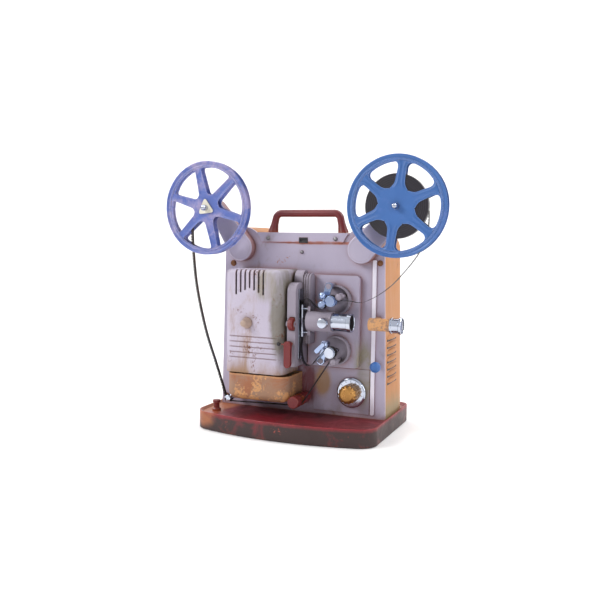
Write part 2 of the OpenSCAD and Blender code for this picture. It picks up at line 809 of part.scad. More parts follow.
module attachment_tube() {
  color("#b08a62") difference() {
    union() {
      rod_x(film_y, axis_z, attach_r, 107.5, 135);
      rod_x(film_y, axis_z, attach_r - 1.2, 134, 145.5);
      block(107.5, 114, film_y, panel_y - touch, axis_z - 6, axis_z + 6);
    }
    rod_x(film_y, axis_z, attach_r - 2.4, 106, 147);
  }
}

module attachment_ring() {
  color(chrome) difference() {
    union() {
      rod_x(film_y, axis_z, attach_ring_r, 135 + seat, 147);
      rod_x(film_y, axis_z, attach_ring_r + 0.6, 135 + seat, 138);
      rod_x(film_y, axis_z, attach_ring_r + 1.6, 147, 150.5);
    }
    rod_x(film_y, axis_z, attach_r - 1.2 + running, 134, 146);
    rod_x(film_y, axis_z, attach_r - 2.4, 134, 152);
    rod_x(film_y, axis_z, attach_ring_r, 147.5, 152);
  }
}

module attachment_glass() {
  element(147.5 + touch, attach_ring_r - touch, 3, 1.6);
}

// ---- Sprockets and keepers ----

function keeper_at(z, a) = [sprocket_x + keeper_l * cos(a), z + keeper_l * sin(a)];

upper_rollers = [150, 203];
lower_rollers = [124];
upper_fixed = 27;
lower_fixed = -66;
upper_pivot = [sprocket_x - 6, upper_z + 18.5];
lower_pivot = [sprocket_x - 16, lower_z - 13];
film_front = film_y - film_w / 2;
film_back = film_y + film_w / 2;

module sprocket_wheel(z, turn) {
  for (y = [[film_front, film_front + 2.4], [film_back - 1.4, film_back]])
    rod_y(sprocket_x, z, sprocket_r, y[0], y[1]);
  rod_y(sprocket_x, z, sprocket_r - 1.2, film_front - 0.3, film_back);
  rod_y(sprocket_x, z, 6.4, film_front - 3, film_front - 0.3);
  rod_y(sprocket_x, z, 2.5, film_front, frame_y0 + 1.7);
  front_extrude(gear_y0, gear_y0 + 4) translate([sprocket_x, z]) gear_2d(sprocket_teeth, turn);
}

module upper_sprocket() {
  color(chrome) sprocket_wheel(upper_z, 180 / sprocket_teeth);
}

module lower_sprocket() {
  color(chrome) sprocket_wheel(lower_z, 0);
}

module roller(p, back) {
  rod_y(p[0], p[1], keeper_roller_r, film_front - 0.6, back);
  intersection() {
    rod_y(p[0], p[1], keeper_roller_r - 0.6, film_front - 4, film_front);
    translate([p[0], film_front + 1.2, p[1]]) sphere(r = 4.6);
  }
}

// Swinging plate behind the film that carries rollers against the sprocket
module keeper(pivot, z, angles) {
  y0 = film_back + 1.6;
  difference() {
    union() {
      for (a = angles) {
        p = keeper_at(z, a);
        front_extrude(y0, y0 + 2.2) link(pivot, 4.5, p, 3.2);
        roller(p, y0 - 0.4);
        rod_y(p[0], p[1], 1.5, film_y, y0 + 1);
      }
      rod_y(pivot[0], pivot[1], 4.9, y0 - 0.1, y0 + 6);
    }
    rod_y(pivot[0], pivot[1], 2.5 + running, y0 - 2, y0 + 8);
  }
}

// Finger tab in front of a keeper's roller
module keeper_tab(p, end) {
  color(reel_blue) {
    front_extrude(film_front - 5.6, film_front - 3.4) link(p, 2.4, end, 2.9);
    rod_y(p[0], p[1], 2.1, film_front - 4.5, film_front);
  }
}

module upper_keeper() {
  color(chrome) keeper(upper_pivot, upper_z, upper_rollers);
  keeper_tab(keeper_at(upper_z, 203), keeper_at(upper_z, 203) + [3.5, 2.2]);
}

module lower_keeper() {
  p = keeper_at(lower_z, lower_rollers[0]);
  color(chrome) keeper(lower_pivot, lower_z, lower_rollers);
  keeper_tab(p, [p[0] - 8.5, p[1] - 8.5]);
}

// Raised C-shaped rims on the lens plate, with the keepers' studs and the fixed rollers
module sprocket_shoes() {
  y1 = plate_y - touch;
  color("#a79fb0") for (k = [[upper_z, upper_pivot, upper_fixed], [lower_z, lower_pivot, lower_fixed]]) {
    difference() {
      rod_y(sprocket_x, k[0], 19.5, plate_y - 8, y1);
      rod_y(sprocket_x, k[0], 17.2, plate_y - 9, plate_y - 2);
      rod_y(sprocket_x, k[0], 2.9, plate_y - 9, y1 + 1);
      block(sprocket_x - 30, sprocket_x - 6, plate_y - 9, plate_y - 2, k[0] - 30, k[0] + 30);
    }
    rod_y(k[1][0], k[1][1], 3.6, film_back + 8, y1);
    rod_y(k[1][0], k[1][1], 2.5, film_back + 1, y1);
    rod_y(k[1][0], k[1][1], 3.6, film_back + 0.4, film_back + 1.3);
    p = keeper_at(k[0], k[2]);
    rod_y(p[0], p[1], 2, film_y, y1);
    roller(p, film_back + 0.6);
  }
}

module bottom_roller() {
  y0 = film_y - 17;
  y1 = panel_y - 7.8;
  color(maroon) difference() {
    union() {
      rod_y(bottom_roller_x, bottom_roller_z, bottom_roller_r - 1.6, y0, y1);
      rod_y(bottom_roller_x, bottom_roller_z, bottom_roller_r, y0, film_y - film_w / 2 - 0.5);
      rod_y(bottom_roller_x, bottom_roller_z, bottom_roller_r, film_y + film_w / 2 + 0.5, y1);
    }
    rod_y(bottom_roller_x, bottom_roller_z, 2.5 + running, film_y - 15.3, y1 + 1);
  }
}

module guide_roller() {
  y0 = film_y - film_w / 2 - 1.5;
  y1 = film_y + film_w / 2 + 1.5;
  color(chrome) difference() {
    union() {
      rod_y(guide_roller_x, guide_roller_z, guide_roller_r - 1, y0, y1);
      for (y = [y0, y1 - 1]) rod_y(guide_roller_x, guide_roller_z, guide_roller_r, y, y + 1);
    }
    rod_y(guide_roller_x, guide_roller_z, 1.8 + running, y0 + 1.2, y1 + 1);
  }
}

// ---- Controls ----

module speed_dial() {
  color(chrome) difference() {
    union() {
      rod_y(dial_x, dial_z, 20, panel_y - 5.5, panel_y - 1.2 - seat);
      rod_y(dial_x, dial_z, 18, panel_y - 7, panel_y - 5.4);
      rod_y(dial_x, dial_z, 5, panel_y - 5, panel_back + 4);
    }
    rod_y(dial_x, dial_z, 2.5 + running, panel_y - 9, panel_back + 5);
  }
}

module switch_knob() {
  flutes = 14;
  r = 12.6;
  color(gold) {
    front_extrude(panel_y - 22, panel_y - 7 - seat) translate([dial_x, dial_z]) difference() {
      circle(r = r);
      for (i = [0:flutes - 1]) rotate(360 * i / flutes) translate([r + 1, 0]) circle(r = 2);
    }
    rod_y(dial_x, dial_z, 9.5, panel_y - 24, panel_y - 21);
    rod_y(dial_x, dial_z, 2.5, panel_y - 8, panel_back + 8);
  }
}

module rewind_knob() {
  color(reel_blue) {
    rod_y(rewind_x, rewind_z, 7, panel_y - 17, panel_y - 12);
    translate([rewind_x, panel_y - 17, rewind_z]) rotate([90, 0, 0]) cylinder(r1 = 7, r2 = 4.5, h = 3);
    rod_y(rewind_x, rewind_z, 2.5, panel_y - 13, panel_back + 3);
    rod_y(rewind_x, rewind_z, 4, panel_y - 12.5, panel_y - 7.5);
  }
}

// ---- Arms and reels ----

module arm(pivot, end) {
  color(lavender_grey) difference() {
    front_extrude(arm_y0, arm_y1) link(pivot, boss_r, end, arm_end_r);
    // hollow back, with the belt's run inside
    front_extrude(arm_y0 + 4, arm_y1 + 1) difference() {
      link(pivot, boss_r - 2.5, end, arm_end_r - 2.5);
      translate(pivot) circle(r = pivot_r + 3);
      translate(end) circle(r = spindle_r + 3);
    }
    rod_y(pivot[0], pivot[1], pivot_r + running, arm_y0 + 2.2, arm_y1 + 1);
    rod_y(end[0], end[1], spindle_r + running, arm_y0 - 1, arm_y1 + 1);
  }
}

module supply_arm() {
  arm([pivot_x, pivot_z], [supply_x, supply_z]);
}

module takeup_arm() {
  arm([-pivot_x, pivot_z], [takeup_x, takeup_z]);
}

module spindle(x, z) {
  front = reel_front_y - flange_t;
  color(chrome) {
    rod_y(x, z, spindle_r, front - 6, arm_y1 - 0.5);
    rod_y(x, z, 7, reel_back_y + flange_t + 0.3, arm_y0 - seat);
    translate([x, front - 6, z]) sphere(r = spindle_r);
  }
}

module supply_spindle() {
  spindle(supply_x, supply_z);
}

module takeup_spindle() {
  spindle(takeup_x, takeup_z);
}

module flange_2d(turn) {
  rim = reel_d / 2 - 8.5;
  hub = core_r + 4;
  difference() {
    circle(r = reel_d / 2, $fn = 96);
    difference() {
      circle(r = rim, $fn = 96);
      circle(r = hub);
      for (i = [0:5]) rotate(turn + 60 * i)
        polygon([[hub - 6, -9], [hub + 6, -6], [rim + 2, -4.6], [rim + 2, 4.6], [hub + 6, 6], [hub - 6, 9]]);
    }
    circle(r = spindle_r + 0.1);
  }
}

module reel(x, z, turn) {
  color(reel_blue) {
    front_extrude(reel_front_y - flange_t, reel_front_y - touch) translate([x, z]) flange_2d(turn);
    front_extrude(reel_back_y + touch, reel_back_y + flange_t) translate([x, z]) flange_2d(turn);
    difference() {
      rod_y(x, z, core_r, reel_front_y, reel_back_y);
      rod_y(x, z, spindle_r + 0.1, reel_front_y - 1, reel_back_y + 1);
    }
  }
}

module supply_reel() {
  reel(supply_x, supply_z, 22);
}

module takeup_reel() {
  reel(takeup_x, takeup_z, 44);
}

module film_roll() {
  color(dark) difference() {
    rod_y(supply_x, supply_z, film_roll_r, film_y - film_w / 2, film_y + film_w / 2);
    rod_y(supply_x, supply_z, core_r + touch, film_y - 10, film_y + 10);
  }
}

// ---- Film ----

module film_supply() {
  c = [supply_x, supply_z];
  start = c + (film_roll_r + 0.6) * [cos(-8), sin(-8)];
  turn = arc_points(keeper_at(upper_z, upper_fixed), keeper_l - film_r, 262, 212, 5);
  free = curve([
    start, [supply_x + 39, supply_z - 30], [supply_x + 29, supply_z - 57],
    [supply_x + 5, supply_z - 88], [supply_x - 12, supply_z - 104],
    [supply_x - 29, supply_z - 115], [supply_x - 44, supply_z - 121],
    [turn[0][0] + 12, turn[0][1] + 0.4], turn[0],
  ], 5);
  color(dark) film_band(concat(free, [for (i = [1:5]) turn[i]]));
}

module film_gate() {
  up = [sprocket_x, upper_z];
  low = [sprocket_x, lower_z];
  wrap = keeper_l - film_r;
  over = arc_points(up, film_r, 33, 199, 12);
  round = arc_points(keeper_at(upper_z, 203), wrap, 17, -72, 7);
  enter = arc_points(low, film_r, 140, lower_fixed + 4, 14);
  leave = arc_points(keeper_at(lower_z, lower_fixed), wrap, 180 + lower_fixed + 5, 146, 3);
  upper_loop = curve([
    round[7], [40, upper_z - 10.4], [34, upper_z - 8], [28.5, upper_z - 2.5], [22.5, upper_z + 1.5],
    [17.4, upper_z - 0.5], [film_x, upper_z - 6.5], [film_x, upper_z - 15], [film_x, lower_z + 14],
  ], 4);
  lower_loop = curve([
    [film_x, lower_z + 14], [film_x, lower_z + 1], [18, lower_z - 13], [24, lower_z - 19],
    [31, lower_z - 17], [37, lower_z - 9.5], enter[0] - [5, 5.7], enter[0],
  ], 4);
  turn1 = arc_points([bottom_roller_x, bottom_roller_z], bottom_roller_r - 1.1, 326, 272, 6);
  turn2 = arc_points([guide_roller_x, guide_roller_z], guide_roller_r - 0.5, 272, 204, 6);
  color(dark) film_band(concat(
    over, round, [for (i = [1:len(upper_loop) - 1]) upper_loop[i]],
    [for (i = [1:len(lower_loop) - 2]) lower_loop[i]], enter, leave, turn1, turn2));
}

module film_takeup() {
  gr = [guide_roller_x, guide_roller_z];
  start = gr + (guide_roller_r - 0.5) * [cos(192), sin(192)];
  c = [takeup_x, takeup_z];
  color(dark) film_band(curve([
    start, [gr[0] - 20, gr[1] + 45], [gr[0] - 37, gr[1] + 92], [gr[0] - 51, gr[1] + 150],
    [gr[0] - 57, gr[1] + 200], [c[0] - 24, c[1] - 24], c + (core_r + 1) * [cos(180), sin(180)],
  ], 5));
}

// ---- Drive ----

module motor() {
  z0 = deck_z + touch;
  color("#5b5e66") difference() {
    union() {
      rod_x(motor_y, motor_z, 26, -60, -8);
      translate([-50, motor_y, motor_z]) side_extrude(0, 30) square([56, 56], center = true);
      block(-52, -46, motor_y - 25, motor_y + 25, z0, motor_z);
      block(-24, -18, motor_y - 25, motor_y + 25, z0, motor_z);
    }
    rod_x(motor_y, motor_z, 18, -56, -12);
    rod_x(motor_y, motor_z, 3 + running, -70, 0);
  }
}

module motor_rotor() {
  color(chrome) {
    rod_x(motor_y, motor_z, 3, -80, 20);
    rod_x(motor_y, motor_z, 17, -52, -16);
    rod_x(motor_y, motor_z, motor_pulley_r, belt_x - 3, belt_x + 3);
    for (x = [belt_x - 3.6, belt_x + 2.6]) rod_x(motor_y, motor_z, motor_pulley_r + 2, x, x + 1);
    rod_x(motor_y, motor_z, 24, -66, -64.5);
    for (i = [0:7]) translate([-78, motor_y, motor_z]) rotate([45 * i, 0, 0]) translate([0, -0.6, 8]) cube([13, 1.2, 15]);
    rod_x(motor_y, motor_z, 8.2, -78, -64.6);
  }
}

// Frame behind the panel: two cheeks that carry the shutter shaft and a back plate
module mechanism_frame() {
  x0 = 24;
  x1 = sprocket_x + 26;
  z0 = lower_z - 26;
  z1 = upper_z + 26;
  color("#8d8f98") difference() {
    union() {
      block(x0, x0 + 2, panel_back + touch, frame_y0 + 2, z0, z1);
      block(x1 - 2, x1, panel_back + touch, frame_y0 + 2, z0, z1);
      block(x0, x1, frame_y0, frame_y0 + 2, z0, z1);
    }
    rod_x(shutter_y, shutter_z, 3 + running, x0 - 1, x1 + 1);
    for (z = [upper_z, lower_z, idler_z]) rod_y(sprocket_x, z, 2.5 + running, frame_y0 - 1, frame_y0 + 3);
  }
}

// Three-bladed shutter on its shaft, with the belt pulley and the worm
module shutter_shaft() {
  r = 49.5;
  color("#55585f") {
    side_extrude(-1.5, -0.5) translate([shutter_y, shutter_z]) difference() {
      circle(r = r, $fn = 96);
      difference() {
        circle(r = r + 1);
        circle(r = 22);
        for (a = [20, 140, 260]) rotate(a) polygon([[0, 0], 70 * [cos(-38), sin(-38)], [75, 0], 70 * [cos(38), sin(38)]]);
      }
    }
    rod_x(shutter_y, shutter_z, 6, -0.5, 3);
    rod_x(shutter_y, shutter_z, 3, -3, sprocket_x + 26);
    rod_x(shutter_y, shutter_z, shaft_pulley_r, belt_x - 3, belt_x + 3);
    rod_x(shutter_y, shutter_z, worm_r, sprocket_x - 6, sprocket_x + 6);
  }
}

module idler_gear() {
  wheel_r = shutter_z - idler_z - worm_r - seat;
  color(gold) {
    rod_y(sprocket_x, idler_z, 2.5, plate_y + 1, frame_y0 + 1.7);
    rod_y(sprocket_x, idler_z, wheel_r, shutter_y - 2.5, shutter_y + 2.5);
    front_extrude(gear_y0, gear_y0 + 4) translate([sprocket_x, idler_z])
      gear_2d(idler_teeth, 90);
  }
}

module drive_belt() {
  a = [motor_y, motor_z];
  b = [shutter_y, shutter_z];
  color(dark) side_extrude(belt_x - 2, belt_x + 2) difference() {
    link(a, motor_pulley_r + 1.6, b, shaft_pulley_r + 1.6);
    link(a, motor_pulley_r + seat, b, shaft_pulley_r + seat);
  }
}

module power_inlet() {
  y = body_back - 18;
  color(dark) {
    difference() {
      block(45.2, 74.8, y, body_back + 1, deck_z + 22.2, deck_z + 41.8);
      block(48, 72, y + 4, body_back + 2, deck_z + 25, deck_z + 39);
    }
    for (x = [55, 65]) rod_y(x, deck_z + 32, 2, y + 3, body_back - 2);
  }
}

base_tray();
base_plate();
base_feet();
cover_post();
front_panel();
rear_housing();
top_strip();
cover_latch();
carry_handle();
panel_screws();
lens_plate();
control_panel();
trim_strip();
lamp_base();
lamp_bulb();
lamp_socket();
reflector_bracket();
condenser_lens();
gate_casting();
aperture_plate();
lens_holder();
attachment_tube();
sprocket_shoes();
motor();
mechanism_frame();
power_inlet();
lamp_cover();
lamp_cover_knob();
framing_wheel();
gate_lever();
lens_barrel();
lens_glass();
focus_knob();
attachment_ring();
attachment_glass();
upper_sprocket();
lower_sprocket();
upper_keeper();
lower_keeper();
bottom_roller();
guide_roller();
switch_knob();
speed_dial();
rewind_knob();
supply_arm();
takeup_arm();
supply_spindle();
takeup_spindle();
supply_reel();
takeup_reel();
film_roll();
film_supply();
film_gate();
film_takeup();
motor_rotor();
shutter_shaft();
idler_gear();
drive_belt();
claw();
pressure_plate();
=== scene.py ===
"""Looks of the cine film projector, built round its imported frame.

Lengths are in millimetres while a piece is shaped and in metres once it is placed.
X runs to the right of the front panel, Y to the back and Z up.
"""

import json
import logging
import math
from dataclasses import dataclass, field
from enum import Enum
from typing import Any, Sequence

import bmesh
import bpy
from mathutils import Matrix, Vector

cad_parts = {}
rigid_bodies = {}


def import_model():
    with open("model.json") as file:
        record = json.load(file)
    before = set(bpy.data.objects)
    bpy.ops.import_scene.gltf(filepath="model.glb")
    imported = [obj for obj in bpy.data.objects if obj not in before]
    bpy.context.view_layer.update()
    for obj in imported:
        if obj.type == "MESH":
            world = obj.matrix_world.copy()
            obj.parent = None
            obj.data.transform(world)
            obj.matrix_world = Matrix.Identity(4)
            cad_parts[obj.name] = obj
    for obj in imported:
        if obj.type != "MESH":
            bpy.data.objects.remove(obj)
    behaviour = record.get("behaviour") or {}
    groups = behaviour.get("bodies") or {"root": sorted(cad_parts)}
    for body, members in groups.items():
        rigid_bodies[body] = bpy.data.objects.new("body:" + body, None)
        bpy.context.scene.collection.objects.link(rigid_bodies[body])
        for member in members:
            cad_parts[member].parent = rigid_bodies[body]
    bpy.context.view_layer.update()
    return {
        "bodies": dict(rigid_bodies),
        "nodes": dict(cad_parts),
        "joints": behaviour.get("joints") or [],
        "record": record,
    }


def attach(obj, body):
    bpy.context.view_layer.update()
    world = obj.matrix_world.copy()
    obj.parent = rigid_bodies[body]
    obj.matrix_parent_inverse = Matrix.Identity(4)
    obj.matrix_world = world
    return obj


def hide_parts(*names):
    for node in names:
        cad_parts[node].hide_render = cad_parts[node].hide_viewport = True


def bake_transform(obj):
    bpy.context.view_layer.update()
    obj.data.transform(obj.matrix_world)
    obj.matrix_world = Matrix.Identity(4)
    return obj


log = logging.getLogger("projector")

Point = tuple[float, float]

MM_PER_M = 1000
FILM_Y = -43.0  # middle of the film, front to back
FLANGE_OFF = 4.75  # from the film's middle to a reel's flange
PANEL_Y = -10.0  # face of the front panel
DECK_Z = 21.5  # top of the base
TOP_Z = 264.0  # top of the body
AXIS_Z = 151.0  # lens axis


def polar(centre: Point, radius: float, degrees: float) -> Point:
    """Returns the point at a distance and an angle from a centre."""
    turn = math.radians(degrees)
    return centre[0] + radius * math.cos(turn), centre[1] + radius * math.sin(turn)


# places across and up the front
PIVOT = (87.3, 244.0)
SUPPLY = polar(PIVOT, 76, 46)
TAKEUP = polar((-PIVOT[0], PIVOT[1]), 66, 126)
UPPER = (56.0, 178.0)
LOWER = (56.0, 111.0)
BOTTOM_ROLLER = (11.0, 44.0)
GUIDE_ROLLER = (-92.0, 37.7)


class Axis(Enum):
    """Direction that a turned or extruded shape runs along."""

    X = "X"
    Y = "Y"
    Z = "Z"

    def turn(self) -> Matrix:
        """Returns the turn that takes +Z to this axis."""
        if self is Axis.X:
            return Matrix.Rotation(math.radians(90), 4, "Y")
        if self is Axis.Y:
            return Matrix.Rotation(math.radians(-90), 4, "X")
        return Matrix.Identity(4)


# ---- Finishes ----

Socket = bpy.types.NodeSocket
Tree = bpy.types.NodeTree
Colour = str | Socket

# sizes of the patterns in a finish
DRIFT_MM = 22
SMUDGE_MM = 9
CLOUD_MM = 70
PATCH_MM = 38
RUST_MM = 30
FLECK_MM = 3.2
FILM_EDGE_MM = 8


def linear(colour: str) -> tuple[float, float, float, float]:
    """Turns an sRGB hex colour, six digits after a hash, to linear RGBA."""
    parts = [int(colour[i : i + 2], 16) / 255 for i in (1, 3, 5)]
    red, green, blue = [v / 12.92 if v <= 0.04045 else ((v + 0.055) / 1.055) ** 2.4 for v in parts]
    return red, green, blue, 1.0


def feed(tree: Tree, node: bpy.types.Node, inputs: dict) -> None:
    """Gives a node's inputs their values, and links those that are sockets."""
    for name, value in inputs.items():
        if isinstance(value, Socket):
            tree.links.new(value, node.inputs[name])
        else:
            node.inputs[name].default_value = value


def add(tree: Tree, kind: str, inputs: dict | None = None, **settings: Any) -> bpy.types.Node:
    """Adds a node with its settings and links.

    Args:
        tree: the material's node tree.
        kind: the node's type, without the ShaderNode that all of them start with.
        inputs: input name or number to a value, or to a socket that is linked to it.
        settings: the node's own attributes.

    Returns:
        The new node.
    """
    node = tree.nodes.new("ShaderNode" + kind)
    for name, value in settings.items():
        setattr(node, name, value)
    feed(tree, node, inputs or {})
    return node


def noise(tree: Tree, where: Socket, size_mm: float, detail: float, **inputs: float) -> Socket:
    """Returns a cloudy pattern whose patches are about a size in mm."""
    values = {"Vector": where, "Scale": MM_PER_M / size_mm, "Detail": detail} | inputs
    return add(tree, "TexNoise", values).outputs["Fac"]


def remap(tree: Tree, value: Socket, old: Point, new: Point = (0.0, 1.0), **settings: Any) -> Socket:
    """Returns a value taken from an old range to a new one."""
    ends = {"From Min": old[0], "From Max": old[1], "To Min": new[0], "To Max": new[1]}
    return add(tree, "MapRange", {"Value": value} | ends, **settings).outputs["Result"]


def maths(tree: Tree, operation: str, *values: Any, **settings: Any) -> Socket:
    """Returns the result of an operation on one or two values."""
    return add(tree, "Math", dict(enumerate(values)), operation=operation, **settings).outputs["Value"]


def mix(tree: Tree, factor: Socket, one: Colour, two: Colour) -> Socket:
    """Returns a colour that goes from one to the other by a factor."""
    a, b = (linear(colour) if isinstance(colour, str) else colour for colour in (one, two))
    node = add(tree, "Mix", {"Factor": factor, "A": a, "B": b}, data_type="RGBA")
    return node.outputs["Result"]


def relief(tree: Tree, height: Socket, strength: float, depth_m: float) -> Socket:
    """Returns the normal of a surface with a height pattern on it."""
    inputs = {"Height": height, "Strength": strength, "Distance": depth_m}
    return add(tree, "Bump", inputs).outputs["Normal"]


@dataclass(frozen=True)
class Finish:
    """A surface: what it is made of and how it was made.

    Attributes:
        name: the material's name.
        colour: main colour, sRGB hex.
        roughness: roughness of the clean surface.
        metallic: 1 for bare metal.
        grain_mm: size of the surface's fine texture.
        bump: strength of that texture.
        tint: second colour that the surface drifts to.
    """

    name: str
    colour: str
    roughness: float = 0.4
    metallic: float = 0.0
    grain_mm: float = 1.2
    bump: float = 0.05
    tint: str = ""

    def material(self) -> bpy.types.Material:
        """Returns the material, made on first use."""
        found = bpy.data.materials.get(self.name)
        if found:
            return found
        made = bpy.data.materials.new(self.name)
        made.use_nodes = True
        self.dress(made.node_tree, made.node_tree.nodes["Principled BSDF"])
        return made

    def dress(self, tree: Tree, shader: bpy.types.Node) -> None:
        """Gives the shader a colour that drifts, smudged roughness and fine texture."""
        where = add(tree, "TexCoord").outputs["Object"]
        drift = noise(tree, where, DRIFT_MM, 5.0)
        smudge = noise(tree, where, SMUDGE_MM, 6.0)
        grain = noise(tree, where, self.grain_mm, 3.0)
        rough = (self.roughness * 0.75, min(1.0, self.roughness * 1.35))
        feed(tree, shader, {
            "Base Color": mix(tree, drift, self.colour, self.tint or self.colour),
            "Roughness": remap(tree, smudge, (0.3, 0.7), rough),
            "Normal": relief(tree, grain, self.bump, 0.0004),
            "Metallic": self.metallic,
        })


@dataclass(frozen=True)
class WornEnamel(Finish):
    """Sprayed stoving enamel on steel or cast alloy, stained and rubbed by use, with painted shade laid into
    its colour.

    Attributes:
        stain: colour of the old grime and stains, and of the painted shade on the base's skirt.
        stained: how much of the surface the stains take, 0 to 1.
        rust: colour where the enamel has gone, and of the painted shade in crevices and on sideways faces.
        rusted: how much has gone, 0 to 1.
        streak: how far stains are drawn out up and down.
        worn_edge: how far the edges are rubbed, 0 to 1.
        worn: colour of the rubbed edges; the rust's colour when empty.
        side_shade: how far faces that look sideways are darkened to the rust colour as painted shade, 0 to 1.
        low_stain_and_shade_mm: height under which the enamel goes to the stain colour: heat stain on the lamp
            house, darker towards the bottom on the housing, painted shade on the base's skirt; 0 for nowhere.
        low_soft: height over which that stain fades.
        spots: old spills, and on the panel a painted shadow and a painted reflection, each (x, y, z, reach
            across, reach up, colour) in mm.
    """

    stain: str = "#7a7062"
    stained: float = 0.35
    rust: str = "#8a4a26"
    rusted: float = 0.12
    streak: float = 1.6
    worn_edge: float = 0.6
    worn: str = ""
    side_shade: float = 0.0
    low_stain_and_shade_mm: float = 0.0
    low_soft: float = 30.0
    spots: tuple = ()

    def dress(self, tree: Tree, shader: bpy.types.Node) -> None:
        """Lays stains, rust spots, painted shade in crevices and rubbed edges over the enamel."""
        where = add(tree, "TexCoord").outputs["Object"]
        stretch = {"Vector": where, "Scale": (1.0, 1.0, 1.0 / self.streak)}
        drawn = add(tree, "Mapping", stretch).outputs["Vector"]
        cloud = noise(tree, drawn, CLOUD_MM, 7.0, Roughness=0.62)
        colour = mix(tree, cloud, self.colour, self.tint or self.colour)
        # stains gather in soft-edged patches
        patch = noise(tree, drawn, PATCH_MM, 9.0, Roughness=0.7, Distortion=0.6)
        low = 0.66 - 0.26 * self.stained
        stain = remap(tree, patch, (low, low + 0.2), (0.0, 0.75), interpolation_type="SMOOTHSTEP")
        colour = mix(tree, stain, colour, self.stain)
        # painted shade: corners and round fittings take the rust colour by how enclosed the surface is
        enclosed_shade = add(tree, "AmbientOcclusion", {"Distance": 0.009}, samples=4).outputs["AO"]
        colour = mix(tree, remap(tree, enclosed_shade, (0.85, 0.35), (0.0, 0.85)), colour, self.rust)
        # rust shows where a coarse and a fine pattern agree
        coarse = noise(tree, where, RUST_MM, 4.0)
        fine = noise(tree, where, FLECK_MM, 6.0, Roughness=0.75)
        high = 1.36 - 0.42 * self.rusted
        spots = remap(tree, maths(tree, "ADD", coarse, fine), (high - 0.06, high), (0.0, 0.9))
        # edges are rubbed through: the rounded normal leaves the flat one there
        rounded = add(tree, "Bevel", {"Radius": 0.0012}, samples=4).outputs["Normal"]
        flat = add(tree, "NewGeometry").outputs["Normal"]
        along = add(tree, "VectorMath", {0: rounded, 1: flat}, operation="DOT_PRODUCT").outputs["Value"]
        edge = remap(tree, along, (0.97, 0.86), (0.0, self.worn_edge))
        gone = maths(tree, "MAXIMUM", spots, maths(tree, "MULTIPLY", edge, fine))
        colour = self.stains_and_painted_light(tree, where, colour, patch, flat)
        # a hammered skin: shallow cells, drawn a little coarse so they show
        cells = add(
            tree, "TexVoronoi", {"Vector": where, "Scale": MM_PER_M / self.grain_mm}, feature="SMOOTH_F1"
        ).outputs["Distance"]
        rough = (self.roughness, min(1.0, self.roughness + 0.3))
        feed(tree, shader, {
            "Base Color": mix(tree, gone, colour, self.worn or self.rust),
            "Roughness": remap(tree, patch, (0.35, 0.75), rough),
            "Normal": relief(tree, maths(tree, "SUBTRACT", cells, gone), self.bump, 0.0005),
        })

    def stains_and_painted_light(self, tree: Tree, where: Socket, colour: Socket, patch: Socket, normal: Socket) -> Socket:
        """Lays on the painted shade of the sideways faces, the darkened foot, and the spills with the panel's
        painted shadow and reflection.

        Args:
            tree: the material's node tree.
            where: each point's place.
            colour: the colour so far.
            patch: the stain pattern.
            normal: the face's direction.

        Returns:
            The colour after them.
        """
        ragged = remap(tree, patch, (0.3, 0.7), (-0.75, 0.75))

        def torn(reach: Socket) -> Socket:
            """Returns a patch's strength with a ragged edge."""
            edge = maths(tree, "ADD", reach, ragged, use_clamp=True)
            return maths(tree, "MULTIPLY", edge, reach)

        # faces that look sideways take the rust colour: painted shade on the arms' rims and bosses
        if self.side_shade:
            facing = add(tree, "SeparateXYZ", {"Vector": normal}).outputs["Y"]
            flatness = maths(tree, "ABSOLUTE", facing)
            colour = mix(tree, remap(tree, flatness, (0.75, 0.35), (0.0, self.side_shade)), colour, self.rust)
        # under a height the enamel goes to the stain colour: heat stain on the lamp house, painted shade on
        # the base's skirt
        if self.low_stain_and_shade_mm:
            height = add(tree, "SeparateXYZ", {"Vector": where}).outputs["Z"]
            reach = (self.low_stain_and_shade_mm / MM_PER_M, (self.low_stain_and_shade_mm - self.low_soft) / MM_PER_M)
            colour = mix(tree, torn(remap(tree, height, reach)), colour, self.stain)
        # patches of their own colour: spills, and the panel's painted shadow and painted reflection
        for x, y, z, wide, tall, tone in self.spots:
            place = (x / MM_PER_M, y / MM_PER_M, z / MM_PER_M)
            reach = (wide / MM_PER_M, 1.0, tall / MM_PER_M)
            spot = add(tree, "VectorMath", {0: where, 1: place}, operation="SUBTRACT").outputs["Vector"]
            even = add(tree, "VectorMath", {0: spot, 1: reach}, operation="DIVIDE").outputs["Vector"]
            away = add(tree, "VectorMath", {0: even}, operation="LENGTH").outputs["Value"]
            held = torn(remap(tree, away, (1.05, 0.55)))
            colour = mix(tree, maths(tree, "MULTIPLY", held, 0.85), colour, tone)
        return colour


@dataclass(frozen=True)
class ClearGlass(Finish):
    """Polished optical glass, clear or tinted."""

    def dress(self, tree: Tree, shader: bpy.types.Node) -> None:
        """Gives the shader its finish and makes it clear."""
        super().dress(tree, shader)
        feed(tree, shader, {"Transmission Weight": 1.0, "IOR": 1.52})


@dataclass(frozen=True)
class WoundFilm(Finish):
    """Film wound on itself: its edges show as fine rings round the reel's middle."""

    centre: Point = SUPPLY

    def dress(self, tree: Tree, shader: bpy.types.Node) -> None:
        """Adds the rings of wound film."""
        where = add(tree, "TexCoord").outputs["Object"]
        offset = (-self.centre[0] / MM_PER_M, -FILM_Y / MM_PER_M, -self.centre[1] / MM_PER_M)
        about = add(tree, "Mapping", {"Vector": where, "Location": offset}).outputs["Vector"]
        pattern = {"Vector": about, "Scale": MM_PER_M / FILM_EDGE_MM, "Distortion": 0.4, "Detail": 2.0}
        rings = add(tree, "TexWave", pattern, wave_type="RINGS", rings_direction="Y").outputs["Fac"]
        feed(tree, shader, {
            "Base Color": mix(tree, rings, self.colour, self.tint),
            "Normal": relief(tree, rings, 0.25, 0.0003),
            "Roughness": self.roughness,
        })


